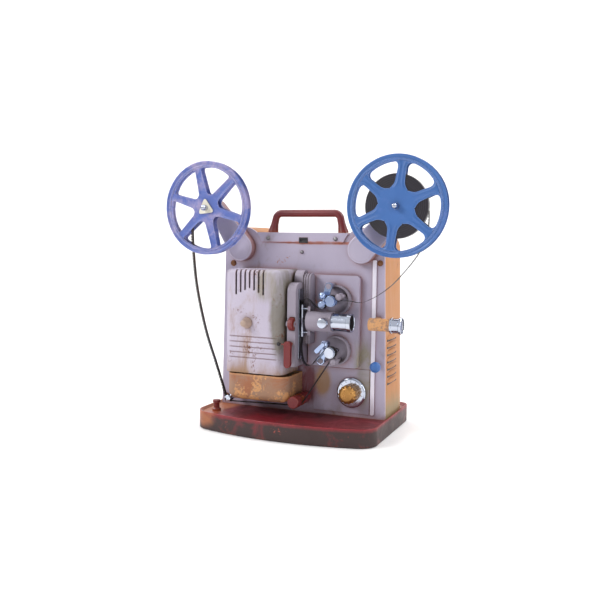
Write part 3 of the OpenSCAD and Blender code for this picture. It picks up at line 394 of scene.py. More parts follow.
# stoving enamel, sprayed: pale lavender with brown stains, and low down a painted maroon shadow and a painted
# tan reflection
PANEL_ENAMEL = WornEnamel(
    "hammered_enamel_lavender", "#9f95ab", 0.42, 0.0, 1.5, 0.2, "#bdb5c8", stain="#82705f", stained=0.42,
    rusted=0.12, worn="#a2643c", spots=(
        # a painted maroon shadow under the gate, and a painted tan reflection beside it
        (4.0, -10.0, 62.0, 32.0, 42.0, "#6e2428"), (34.0, -11.0, 66.0, 15.0, 26.0, "#a88258"),
        (92.0, -10.5, 80.0, 16.0, 60.0, "#8a8368"), (30.0, -12.0, 252.0, 90.0, 3.0, "#a3552e"),
    ),
)
# the same on the arms, with painted shade on their sideways faces
ARM_ENAMEL = WornEnamel(
    "hammered_enamel_arms", "#a198ae", 0.42, 0.0, 1.5, 0.2, "#bdb5c6", stain="#94705a", stained=0.4,
    rust="#7e4630", rusted=0.12, side_shade=0.75,
)
# the same on the lamp house, more bleached and rust-streaked by heat
LAMP_ENAMEL = WornEnamel(
    "hammered_enamel_lamp_house", "#a79eb4", 0.45, 0.0, 1.5, 0.24, "#cdc5d2",
    stain="#94704c", stained=0.5, rust="#6f4128", rusted=0.3, streak=2.6, worn_edge=0.8,
    low_stain_and_shade_mm=104.0, low_soft=26.0,
    spots=((-8.0, -40.0, 160.0, 17.0, 85.0, "#6f6a5c"), (-26.0, -65.0, 196.0, 20.0, 30.0, "#8f8778")),
)
# scorched enamel round the foot of the lamp house, mostly gone to rust tan
SCORCHED_ENAMEL = WornEnamel(
    "scorched_enamel_tan", "#a8744a", 0.55, 0.0, 1.1, 0.4, "#8c7d74",
    stain="#a2603c", stained=0.75, rust="#5d3524", rusted=0.62, streak=1.3, worn="#d09a66", worn_edge=0.8,
)
# stoving enamel, sprayed: warm tan of the housing's sides, a painted warm light
SIDE_ENAMEL = WornEnamel(
    "stoved_enamel_tan_painted_light", "#bd7d40", 0.45, 0.0, 1.6, 0.14, "#a87042",
    stain="#8f7a58", stained=0.3, rust="#7c4423", rusted=0.12, streak=3.0, worn_edge=0.5, low_stain_and_shade_mm=62.0,
)
# stoving enamel, sprayed: maroon base, its skirt darkened as painted shade
BASE_ENAMEL = WornEnamel(
    "stoved_enamel_maroon", "#7d1322", 0.36, 0.0, 1.6, 0.07, "#8d1c2a",
    stain="#33201f", stained=0.3, rust="#a5603c", rusted=0.16, streak=1.0, worn="#b04a3c", worn_edge=0.8,
    low_stain_and_shade_mm=26.0, low_soft=7.0, spots=((-112.0, -40.0, 21.5, 26.0, 20.0, "#a8653f"),),
)
# stamped steel reels in blue enamel, rubbed paler on their ridges
REEL_BLUE = WornEnamel(
    "stoved_enamel_blue", "#2c5896", 0.34, 0.0, 2.0, 0.06, "#4371b4",
    stain="#6378bc", stained=0.3, rust="#18254f", rusted=0.1, streak=1.0, worn="#a4b8e6", worn_edge=1.0,
)
REEL_LAVENDER = WornEnamel(
    "stoved_enamel_blue_faded", "#3f579f", 0.34, 0.0, 2.0, 0.06, "#5f70b4",
    stain="#a699ba", stained=0.9, rust="#22204f", rusted=0.14, streak=0.7, worn="#d8cfe6", worn_edge=0.9,
)
# phenolic moulding, polished: dark red handle and knobs
MAROON_MOULDING = WornEnamel(
    "phenolic_moulded_maroon", "#5f131c", 0.28, 0.0, 2.4, 0.03, "#76201f",
    stain="#5b2a22", stained=0.3, rust="#b0622f", rusted=0.1, streak=1.0, worn_edge=0.55,
)
# grey alloy, sand cast and handled: gate and brackets
CAST_ALLOY = WornEnamel(
    "aluminium_sand_cast", "#7f7785", 0.42, 0.0, 0.9, 0.16, "#a69caa",
    stain="#5f574e", stained=0.45, rust="#4b3b33", rusted=0.2, streak=1.4, worn_edge=0.4,
)
# chromium plate, polished: mirror bright with faint smudges, drifting to a grey blue that is a painted
# reflection
CHROME = Finish("chromium_plate_polished", "#cdd0d8", 0.14, 1.0, 2.0, 0.01, "#a7b0c4")
# chromium plate with a painted blue reflection in its colour: the keepers and sprockets
CHROME_PAINTED_BLUE = Finish("chromium_plate_painted_blue", "#bcc3d4", 0.17, 1.0, 2.0, 0.01, "#7d97c6")
# aluminium, extruded: the upright trim, its near white colour a painted highlight along a rounded edge
TRIM_PAINTED_HIGHLIGHT = Finish("aluminium_trim_painted_highlight", "#eeeaf4", 0.4, 0.3, 0.8, 0.05, "#d6d0e0")
# zinc-plated steel, turned: screws, shafts and the insides
PLATED_STEEL = Finish("steel_zinc_plated", "#8b8b92", 0.35, 1.0, 0.6, 0.08, "#77736f")
# steel screws browned by rust
RUSTY_STEEL = Finish("steel_rusted", "#8a5a34", 0.62, 0.35, 0.8, 0.25, "#5a3a26")
# brass, turned and lacquered
BRASS = Finish("brass_turned", "#bd8e4c", 0.28, 1.0, 0.8, 0.05, "#9c6f3a")
# gold-anodised aluminium knob with worn lacquer
GOLD_KNOB = Finish("aluminium_gold_anodised", "#c2904e", 0.3, 0.75, 0.7, 0.06, "#8e6438")
# phenolic, moulded: matt black fittings
BLACK_MOULDING = Finish("phenolic_moulded_black", "#1f1d20", 0.5, 0.0, 0.8, 0.08, "#2b272b")
# urea moulding, aged: the pale lamp house knob
AGED_MOULDING = Finish("urea_moulded_aged", "#b69f8f", 0.38, 0.0, 1.0, 0.04, "#9d8578")
# natural rubber, moulded: feet and belt
RUBBER = Finish("rubber_moulded", "#1b1b1c", 0.75, 0.0, 0.7, 0.12, "#262627")
# acetate film, developed: near black and glossy
FILM = Finish("acetate_film_developed", "#0d0b0c", 0.5, 0.0, 3.0, 0.01, "#171312")
ROLL = WoundFilm("acetate_film_wound", "#121013", 0.3, tint="#2a2530")
# cream enamel plate on the reel's hub
CREAM_PLATE = Finish("stoved_enamel_cream", "#e6e1d3", 0.4, 0.0, 0.9, 0.06, "#cfc8b6")
GLASS = ClearGlass("optical_glass_polished", "#dfe7ee", 0.03, 0.0, 4.0, 0.0)
# optical glass with a blue-violet coating
COATED_GLASS = ClearGlass("optical_glass_coated", "#4d5f96", 0.03, 0.0, 4.0, 0.0)


# ---- Shapes ----

MERGE_MM = 0.001  # points closer than this are one
NEAR_MM = 0.1  # slack when edges are picked by their place


class Shape:
    """A mesh in the making, in millimetres."""

    def __init__(self) -> None:
        """Starts with nothing."""
        self.bm = bmesh.new()

    def block(
        self, low: Sequence[float], high: Sequence[float], round_mm: float = 0.0, steps: int = 3
    ) -> "Shape":
        """Adds a block between two corners, with its edges rounded.

        Args:
            low: lowest corner.
            high: highest corner.
            round_mm: radius of the edges.
            steps: segments of the rounding.

        Returns:
            The shape, so that calls chain.
        """
        verts = bmesh.ops.create_cube(self.bm, size=1.0)["verts"]
        size = [b - a for a, b in zip(low, high)]
        bmesh.ops.scale(self.bm, vec=size, verts=verts)
        bmesh.ops.translate(self.bm, vec=[(a + b) / 2 for a, b in zip(low, high)], verts=verts)
        if round_mm:
            edges = list({e for v in verts for e in v.link_edges})
            self.bevel(edges, round_mm, steps)
        return self

    def bevel(self, edges: Sequence[bmesh.types.BMEdge], width: float, steps: int = 3) -> None:
        """Rounds edges.

        Args:
            edges: the edges.
            width: how far from the edge the rounding starts.
            steps: its segments.
        """
        bmesh.ops.bevel(
            self.bm, geom=list(edges), offset=width, segments=steps, profile=0.5, affect="EDGES",
            clamp_overlap=True, material=-1,
        )

    def soften(self, width: float, steps: int = 2, sharper: float = 30.0) -> "Shape":
        """Rounds every edge whose faces meet at more than an angle.

        Args:
            width: radius of the rounding.
            steps: its segments.
            sharper: the angle in degrees.

        Returns:
            The shape.
        """
        limit = math.radians(sharper)
        hard = [e for e in self.bm.edges if e.is_manifold and e.calc_face_angle(0.0) > limit]
        self.bevel(hard, width, steps)
        return self

    def fresh(self, before: set[bmesh.types.BMVert]) -> list[bmesh.types.BMVert]:
        """Returns the points that weren't there before."""
        return [v for v in self.bm.verts if v not in before]

    def turned(
        self, profile: Sequence[Point], centre: Sequence[float], axis: Axis, steps: int = 64
    ) -> "Shape":
        """Adds a turned shape.

        Args:
            profile: radius and place along the axis of each point of its outline.
            centre: a point on the axis; the profile's places are measured from it.
            axis: the axis.
            steps: segments round it.

        Returns:
            The shape.
        """
        before = set(self.bm.verts)
        verts = [self.bm.verts.new((max(r, 0.0), 0.0, a)) for r, a in profile]
        pairs = [p for p in zip(verts, verts[1:]) if p[0].co.x > 0 or p[1].co.x > 0]
        edges = [self.bm.edges.new(pair) for pair in pairs]
        bmesh.ops.spin(
            self.bm, geom=verts + edges, cent=(0, 0, 0), axis=(0, 0, 1), angle=math.tau, steps=steps,
            use_merge=True,
        )
        bmesh.ops.remove_doubles(self.bm, verts=self.fresh(before), dist=MERGE_MM)
        place = Matrix.Translation(centre) @ axis.turn()
        bmesh.ops.transform(self.bm, matrix=place, verts=self.fresh(before))
        return self

    def fluted(self, centre: Sequence[float], axis: Axis, past: float, count: int, depth: float) -> "Shape":
        """Presses flutes into everything further than a radius from an axis.

        Args:
            centre: a point on the axis.
            axis: the axis.
            past: the radius.
            count: number of flutes.
            depth: half of a flute's depth, as a share of the radius.

        Returns:
            The shape.
        """
        across = {Axis.X: (1, 2), Axis.Y: (0, 2), Axis.Z: (0, 1)}[axis]
        for v in self.bm.verts:
            away = Vector([v.co[k] - centre[k] for k in across])
            if away.length > past:
                away *= 1 - depth * (1 - math.cos(count * math.atan2(away.y, away.x)))
                for k, reach in zip(across, away):
                    v.co[k] = centre[k] + reach
        return self

    def plate(self, outline: Sequence[Point], low: float, high: float, axis: Axis = Axis.Y) -> "Shape":
        """Adds a flat shape run along an axis.

        Args:
            outline: its points, across and up (X and Z along Y, Y and Z along X, X and Y along Z).
            low: where it starts along the axis.
            high: where it ends.
            axis: the axis.

        Returns:
            The shape.
        """
        place = {
            Axis.Y: lambda a, b: (a, low, b),
            Axis.X: lambda a, b: (low, a, b),
            Axis.Z: lambda a, b: (a, b, low),
        }[axis]
        face = self.bm.faces.new([self.bm.verts.new(place(a, b)) for a, b in outline])
        out = bmesh.ops.extrude_face_region(self.bm, geom=[face])["geom"]
        step = {Axis.X: (high - low, 0, 0), Axis.Y: (0, high - low, 0), Axis.Z: (0, 0, high - low)}[axis]
        moved = [v for v in out if isinstance(v, bmesh.types.BMVert)]
        bmesh.ops.translate(self.bm, vec=step, verts=moved)
        return self

    def cad(self, node: str) -> "Shape":
        """Adds a merged copy of a CAD node, with flat faces made whole.

        Args:
            node: the node's name.

        Returns:
            The shape.
        """
        before = set(self.bm.verts)
        self.bm.from_mesh(FRAME["nodes"][node].data)
        made = self.fresh(before)
        bmesh.ops.scale(self.bm, vec=(MM_PER_M, MM_PER_M, MM_PER_M), verts=made)
        bmesh.ops.remove_doubles(self.bm, verts=made, dist=MERGE_MM / 2)
        bmesh.ops.dissolve_limit(
            self.bm, angle_limit=math.radians(0.8), verts=self.bm.verts, edges=self.bm.edges
        )
        return self

    def place(
        self, name: str, body: str, nodes: Sequence[str], slot: str, finish: Finish, sharp: float = 34.0,
        outward: bool = True,
    ) -> bpy.types.Object:
        """Makes the piece: smooth shading, material, and its place in the frame.

        Args:
            name: the piece's name.
            body: the body it rides on; empty for a piece that runs between two bodies.
            nodes: CAD nodes that it stands for.
            slot: not used.
            finish: its finish.
            sharp: angle in degrees past which an edge stays sharp.
            outward: whether normals are turned outwards again.

        Returns:
            The new object.
        """
        if outward:
            bmesh.ops.remove_doubles(self.bm, verts=self.bm.verts, dist=MERGE_MM)
            bmesh.ops.recalc_face_normals(self.bm, faces=self.bm.faces)
        piece = stand(name, self.mesh(name))
        piece.data.materials.append(finish.material())
        shade(piece, sharp)
        if body:
            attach(piece, body)
        if nodes:
            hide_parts(*nodes)
        log.info("%s: %d faces on %s", name, len(piece.data.polygons), body)
        return piece

    def skin(
        self, node: str, slot: str, finish: Finish, body: str = "", sharp: float = 34.0
    ) -> bpy.types.Object:
        """Makes the piece that stands for one CAD node, on the body of that name if none is given."""
        return self.place(node + "_skin", body or node, [node], slot, finish, sharp)

    def mesh(self, name: str) -> bpy.types.Mesh:
        """Returns the finished mesh in metres, and ends the shape."""
        bmesh.ops.scale(self.bm, vec=(1 / MM_PER_M,) * 3, verts=self.bm.verts)
        mesh = bpy.data.meshes.new(name)
        self.bm.to_mesh(mesh)
        self.bm.free()
        return mesh


def stand(name: str, data: bpy.types.ID) -> bpy.types.Object:
    """Stands a new object in the scene."""
    thing = bpy.data.objects.new(name, data)
    bpy.context.scene.collection.objects.link(thing)
    return thing


def shade(piece: bpy.types.Object, sharp: float) -> None:
    """Shades a piece smooth, save at edges sharper than an angle in degrees."""
    piece.data.shade_smooth()
    piece.data.set_sharp_from_angle(angle=math.radians(sharp))
    piece.modifiers.new("even_shading", "WEIGHTED_NORMAL").keep_sharp = True


def arc(centre: Point, radius: float, start: float, end: float, steps: int) -> list[Point]:
    """Returns points on an arc, both ends included.

    Args:
        centre: its centre.
        radius: its radius.
        start: first angle in degrees.
        end: last angle in degrees.
        steps: number of segments.

    Returns:
        The points.
    """
    turns = [math.radians(start + (end - start) * i / steps) for i in range(steps + 1)]
    return [(centre[0] + radius * math.cos(t), centre[1] + radius * math.sin(t)) for t in turns]


def link_outline(one: Point, r1: float, two: Point, r2: float, steps: int = 24) -> list[Point]:
    """Returns the outline round two circles and the lines that touch both.

    Args:
        one: centre of the first circle.
        r1: its radius.
        two: centre of the second circle.
        r2: its radius.
        steps: segments of each arc.

    Returns:
        The closed outline's points.
    """
    reach = math.dist(one, two)
    heading = math.degrees(math.atan2(two[1] - one[1], two[0] - one[0]))
    half = math.degrees(math.acos((r1 - r2) / reach))
    round_one = arc(one, r1, heading + half, heading + 360 - half, steps)
    return round_one + arc(two, r2, heading - half, heading + half, steps)


def smooth_path(points: Sequence[Point], steps: int) -> list[Point]:
    """Returns a smooth curve through points.

    Args:
        points: the points.
        steps: segments between each pair.

    Returns:
        The curve's points.
    """
    out: list[Point] = []
    last = len(points) - 1
    for i in range(last):
        a, b, c, d = (Vector(points[k]) for k in (max(i - 1, 0), i, i + 1, min(i + 2, last)))
        for k in range(steps):
            t = k / steps
            square, cube = 2 * a - 5 * b + 4 * c - d, 3 * b - a - 3 * c + d
            at = 0.5 * (2 * b + (c - a) * t + square * t * t + cube * t**3)
            out.append((at.x, at.y))
    out.append(tuple(points[-1]))
    return out


FRAME: dict[str, Any] = {}


# ---- Sub-assemblies ----


@dataclass
class CadPieces:
    """Pieces that keep their CAD shape, with their edges eased and a finish."""

    table: dict[str, tuple[Finish, float]] = field(
        default_factory=lambda: {
            "base_plate": (PLATED_STEEL, 0.0),
            "base_feet": (RUBBER, 0.3),
            "front_panel": (PANEL_ENAMEL, 0.8),
            "top_strip": (PANEL_ENAMEL, 0.5),
            "cover_latch": (BLACK_MOULDING, 0.4),
            "lens_plate": (PANEL_ENAMEL, 1.4),
            "control_panel": (PANEL_ENAMEL, 0.35),
            "trim_strip": (TRIM_PAINTED_HIGHLIGHT, 0.6),
            "lamp_socket": (BLACK_MOULDING, 0.4),
            "lamp_bulb": (GLASS, 0.0),
            "reflector_bracket": (PLATED_STEEL, 0.2),
            "condenser_lens": (GLASS, 0.0),
            "gate_casting": (CAST_ALLOY, 0.7),
            "aperture_plate": (CHROME, 0.2),
            "lens_holder": (CAST_ALLOY, 0.5),
            "sprocket_shoes": (CAST_ALLOY, 0.5),
            "motor": (PLATED_STEEL, 0.5),
            "mechanism_frame": (PLATED_STEEL, 0.3),
            "power_inlet": (BLACK_MOULDING, 0.5),
            "gate_lever": (MAROON_MOULDING, 0.9),
            "upper_sprocket": (CHROME_PAINTED_BLUE, 0.2),
            "lower_sprocket": (CHROME, 0.2),
            "upper_keeper": (CHROME_PAINTED_BLUE, 0.35),
            "lower_keeper": (CHROME_PAINTED_BLUE, 0.35),
            "motor_rotor": (PLATED_STEEL, 0.2),
            "shutter_shaft": (PLATED_STEEL, 0.1),
            "idler_gear": (BRASS, 0.1),
            "drive_belt": (RUBBER, 0.3),
            "claw": (CHROME, 0.1),
            "pressure_plate": (CHROME, 0.2),
            "lens_glass": (COATED_GLASS, 0.0),
            "attachment_glass": (COATED_GLASS, 0.0),
        }
    )

    def build(self, body_of: dict[str, str], slot_of: dict[str, str]) -> None:
        """Makes each piece.

        Args:
            body_of: each node's body.
            slot_of: each node's material slot.
        """
        for node, (finish, ease) in self.table.items():
            shape = Shape().cad(node)
            if ease:
                shape.soften(ease, 2, 32.0)
            shape.place(node + "_skin", body_of[node], [node], slot_of[node], finish, outward=False)


@dataclass
class Base:
    """The traylike base with its bowed front and the post for the cover."""

    width: float = 252.0
    depth: float = 191.0
    height: float = 25.0
    tray: float = 3.5
    rim: float = 5.0
    corner: float = 24.0
    bow: float = 400.0

    def outline(self, inset: float) -> list[Point]:
        """Returns the plan, drawn in by inset."""
        side, back = self.width / 2, self.depth / 2
        rear = self.corner * 0.6
        middle, reach = self.bow - back, self.bow - self.corner
        cx = side - self.corner
        cy = middle - math.sqrt(reach**2 - cx**2)
        turn = math.degrees(math.atan2(cy - middle, cx))
        half = arc((0, middle), self.bow - inset, -90, turn, 14)
        half += arc((cx, cy), self.corner - inset, turn, 0, 16)[1:]
        half += arc((side - rear, back - rear), rear - inset, 0, 90, 14)
        return half + [(-x, y) for x, y in reversed(half[1:])]

    def build(self) -> None:
        """Makes the tray and the post."""
        shape = Shape().plate(self.outline(0), 0.5, self.height, Axis.Z)
        top = max(shape.bm.faces, key=lambda f: f.calc_center_median().z)
        bmesh.ops.inset_region(shape.bm, faces=[top], thickness=self.rim, use_even_offset=True)
        bmesh.ops.translate(shape.bm, vec=(0, 0, -self.tray), verts=top.verts)
        shape.soften(1.3, 4, 50.0)
        shape.skin("base_tray", "base_enamel", BASE_ENAMEL, "machine")
        spool = [
            (0, 0), (6, 0), (6, 2.2), (5.2, 3), (4, 4), (3.8, 9), (4.4, 11), (5.4, 11.6), (5.4, 14.2),
            (4.6, 15), (0, 15),
        ]
        shape = Shape().turned(spool, (-104.8, -55, DECK_Z), Axis.Z, 48)
        shape.skin("cover_post", "maroon_plastic", MAROON_MOULDING, "machine")


@dataclass
class Housing:
    """Rear housing, drawn from sheet, with raised louvres in each side."""

    half: float = 121.0
    shoulder: float = 28.5
    front: float = -6.45
    back: float = 87.9
    louvres: int = 7
    pitch: float = 9.6
    first: float = 66.0

    def outline(self, inset: float, lift: float = 0.0) -> list[Point]:
        """Returns the front view, drawn in by inset at the sides and top."""
        r = self.shoulder - inset
        foot = (self.half - inset, DECK_Z + lift)
        away = math.dist(foot, PIVOT)
        lean = math.degrees(math.atan2(foot[1] - PIVOT[1], foot[0] - PIVOT[0]))
        lean += math.degrees(math.acos(r / away))
        top = TOP_Z - inset
        rise = math.degrees(math.asin(min(1.0, (top - PIVOT[1]) / r)))
        right = [foot] + arc(PIVOT, r, lean, 180 - rise, 30)
        return right + [(-x, z) for x, z in reversed(right)]

    def build(self) -> None:
        """Makes the shell, its louvres and its air slots."""
        shape = Shape()
        deep = 34.0
        stops = [(self.front, 0.0), (20.0, 0.0), (self.back - deep, 0.0)]
        for i in range(1, 9):
            turn = math.radians(90 * i / 8)
            inset = 22.0 * (1 - math.cos(turn)) ** 1.4
            stops.append((self.back - deep + deep * math.sin(turn) ** 1.1, inset))
        loops = []
        for y, inset in stops:
            verts = [shape.bm.verts.new((x, y, z)) for x, z in self.outline(inset)]
            loops.append([shape.bm.edges.new(p) for p in zip(verts, verts[1:] + verts[:1])])
        for one, two in zip(loops, loops[1:]):
            bmesh.ops.bridge_loops(shape.bm, edges=one + two)
        bmesh.ops.holes_fill(shape.bm, edges=loops[-1])
        bmesh.ops.recalc_face_normals(shape.bm, faces=shape.bm.faces)
        bmesh.ops.solidify(shape.bm, geom=shape.bm.faces[:], thickness=1.6)
        shape.skin("rear_housing", "side_enamel", SIDE_ENAMEL, "machine", 40)
        self.build_louvres()
        self.build_vents()

    def side_at(self, z: float) -> float:
        """Returns the half width of the body at a height."""
        foot, shoulder = self.outline(0)[0], self.outline(0)[1]
        return foot[0] + (shoulder[0] - foot[0]) * (z - foot[1]) / (shoulder[1] - foot[1])

    def build_louvres(self) -> None:
        """Makes the pressed hoods, and black blocks under them as painted shade in the slots."""
        hoods, slots = Shape(), Shape()
        for side in (-1, 1):
            for i in range(self.louvres):
                z = self.first + i * self.pitch
                x = self.side_at(z + 3)
                made = bmesh.ops.create_uvsphere(hoods.bm, u_segments=20, v_segments=10, radius=1.0)["verts"]
                bmesh.ops.scale(hoods.bm, vec=(3.2, 23.5, 3.7), verts=made)
                bmesh.ops.translate(hoods.bm, vec=(side * (x - 0.4), 22.0, z + 4.4), verts=made)
                cut = [v for v in made if v.co.z < z + 2.3]
                for v in cut:
                    v.co.z = z + 2.3
                low = min(side * (x - 1), side * (x + 0.35))
                # a black block stands in each slot: painted shade
                slots.block((low, 0.5, z - 0.1), (low + 1.35, 43.5, z + 2.8), 0.3, 2)
        hoods.place("side_louvres", "machine", [], "side_enamel", SIDE_ENAMEL, 50)
        slots.place("side_louvre_painted_shade", "machine", [], "black_plastic", BLACK_MOULDING)

    def build_vents(self) -> None:
        """Makes the row of air slots in the back as black blocks: painted shade where the openings would be.
        """
        shape = Shape()
        for x in range(-60, 13, 12):
            shape.block((x, self.back - 0.6, 55), (x + 4, self.back + 0.05, 95), 0.25, 2)
        shape.place("back_vent_painted_shade", "machine", [], "black_plastic", BLACK_MOULDING)


@dataclass
class Handle:
    """Bowed carrying handle with an oval grip."""

    y: float = 10.0
    leg: float = 48.0
    lean: float = 4.0
    radius: float = 5.0
    top: float = 292.0
    bend: float = 9.0
    foot: tuple = (1.48, 1.3, 1.05)

    def build(self) -> None:
        """Sweeps the bar along its path."""
        right = [
            (self.leg + self.lean, TOP_Z + 1.2),
            (self.leg + self.lean * 0.75, 270.0),
            (self.leg + self.lean * 0.4, 277.0),
        ]
        right += arc((self.leg - self.bend, self.top - self.bend), self.bend, 4, 88, 7)
        path = right + [(-x, z) for x, z in reversed(right)]
        shape = Shape()
        rings = []
        for i, (x, z) in enumerate(path):
            a, b = Vector(path[max(i - 1, 0)]), Vector(path[min(i + 1, len(path) - 1)])
            run = (b - a).normalized()
            near = min(i, len(path) - 1 - i)
            grow = self.foot[near] if near < len(self.foot) else 1.0
            ring = bmesh.ops.create_circle(shape.bm, segments=24, radius=self.radius * grow)["verts"]
            turn = Matrix(((-run.y, 0, run.x), (0, 1.0, 0), (run.x, 0, run.y))).to_4x4()
            bmesh.ops.transform(shape.bm, matrix=Matrix.Translation((x, self.y, z)) @ turn, verts=ring)
            rings.append(list({e for v in ring for e in v.link_edges}))
        for one, two in zip(rings, rings[1:]):
            bmesh.ops.bridge_loops(shape.bm, edges=one + two)
        for ring in (rings[0], rings[-1]):
            bmesh.ops.holes_fill(shape.bm, edges=ring)
        shape.skin("carry_handle", "handle_plastic", MAROON_MOULDING, "machine", 50)


@dataclass
class Screws:
    """Slotted screws in the panel: place across and up, head radius, seat, and whether rusty."""

    heads: tuple = (
        (-49.0, 257.5, 2.8, 2.2, False), (49.0, 257.5, 2.8, 2.2, False), (0.5, 239.4, 2.4, 0.0, False),
        (-103.5, 222.0, 4.2, 0.0, True), (110.4, 227.0, 3.8, 0.0, True), (-113.0, 33.5, 3.2, 0.0, True),
    )

    def build(self) -> None:
        """Turns the domed heads and lays a bar across each for its slot."""
        for rusty in (False, True):
            shape = Shape()
            for x, z, r, proud, old in self.heads:
                if old is not rusty:
                    continue
                face = PANEL_Y - proud - 0.02
                dome = [
                    (0, 2.4), (r * 0.4, 2.25), (r * 0.75, 1.75), (r * 0.95, 1.1), (r, 0.5), (r, -0.4),
                    (0, -0.4),
                ]
                shape.turned([(a, -b) for a, b in dome], (x, face, z), Axis.Y, 32)
                shape.block((x - r * 0.86, face - 2.46, z - 0.32), (x + r * 0.86, face - 1.2, z + 0.32))
            name = "panel_screws_rusted" if rusty else "panel_screws_plated"
            finish = RUSTY_STEEL if rusty else PLATED_STEEL
            shape.place(name, "machine", ["panel_screws"], "satin_steel", finish)


@dataclass
class ReelArm:
    """Folding cast arm with a round boss, a hollow front and a rounded rim."""

    node: str
    pivot: Point
    end: Point
    boss: float = 18.5
    tip: float = 12.0
    front: float = -23.0
    back: float = -11.0

    def build(self) -> None:
        """Makes the arm and its boss cap."""
        outline = link_outline(self.pivot, self.boss, self.end, self.tip, 28)
        shape = Shape().plate(outline, self.front, self.back)
        faces = [f for f in shape.bm.faces if len(f.verts) > 8]
        front = min(faces, key=lambda f: f.calc_center_median().y)
        shape.bevel(front.edges[:], 2.6, 5)
        shape.skin(self.node, "body_enamel", ARM_ENAMEL)
        r = self.boss - 3.4
        rim = [(0, 0.2), (r - 0.8, 0.2), (r, -0.15), (r + 0.5, 0.3), (r + 0.5, 0.8), (0, 0.8)]
        cap = Shape().turned(rim, (self.pivot[0], self.front, self.pivot[1]), Axis.Y)
        cap.place(self.node + "_cap", self.node, [], "body_enamel", ARM_ENAMEL)

    def spindle(self, reel: str, node: str) -> None:
        """Turns the spindle that drives the reel.

        Args:
            reel: the body that it turns with.
            node: the CAD node it stands for.
        """
        x, z = self.end
        tip = FILM_Y - FLANGE_OFF - 7.4
        profile = [
            (0, tip - 3.9), (2.2, tip - 3.3), (3.6, tip - 1.6), (3.95, tip), (3.95, -37.4), (6.6, -36.5),
            (7, -36.1), (7, -24.0), (6.6, -23.4), (3.95, -23.3), (3.95, -11.6), (0, -11.6),
        ]
        shape = Shape().turned(profile, (x, 0, z), Axis.Y, 40)
        shape.skin(node, "chrome_plate", CHROME, reel)


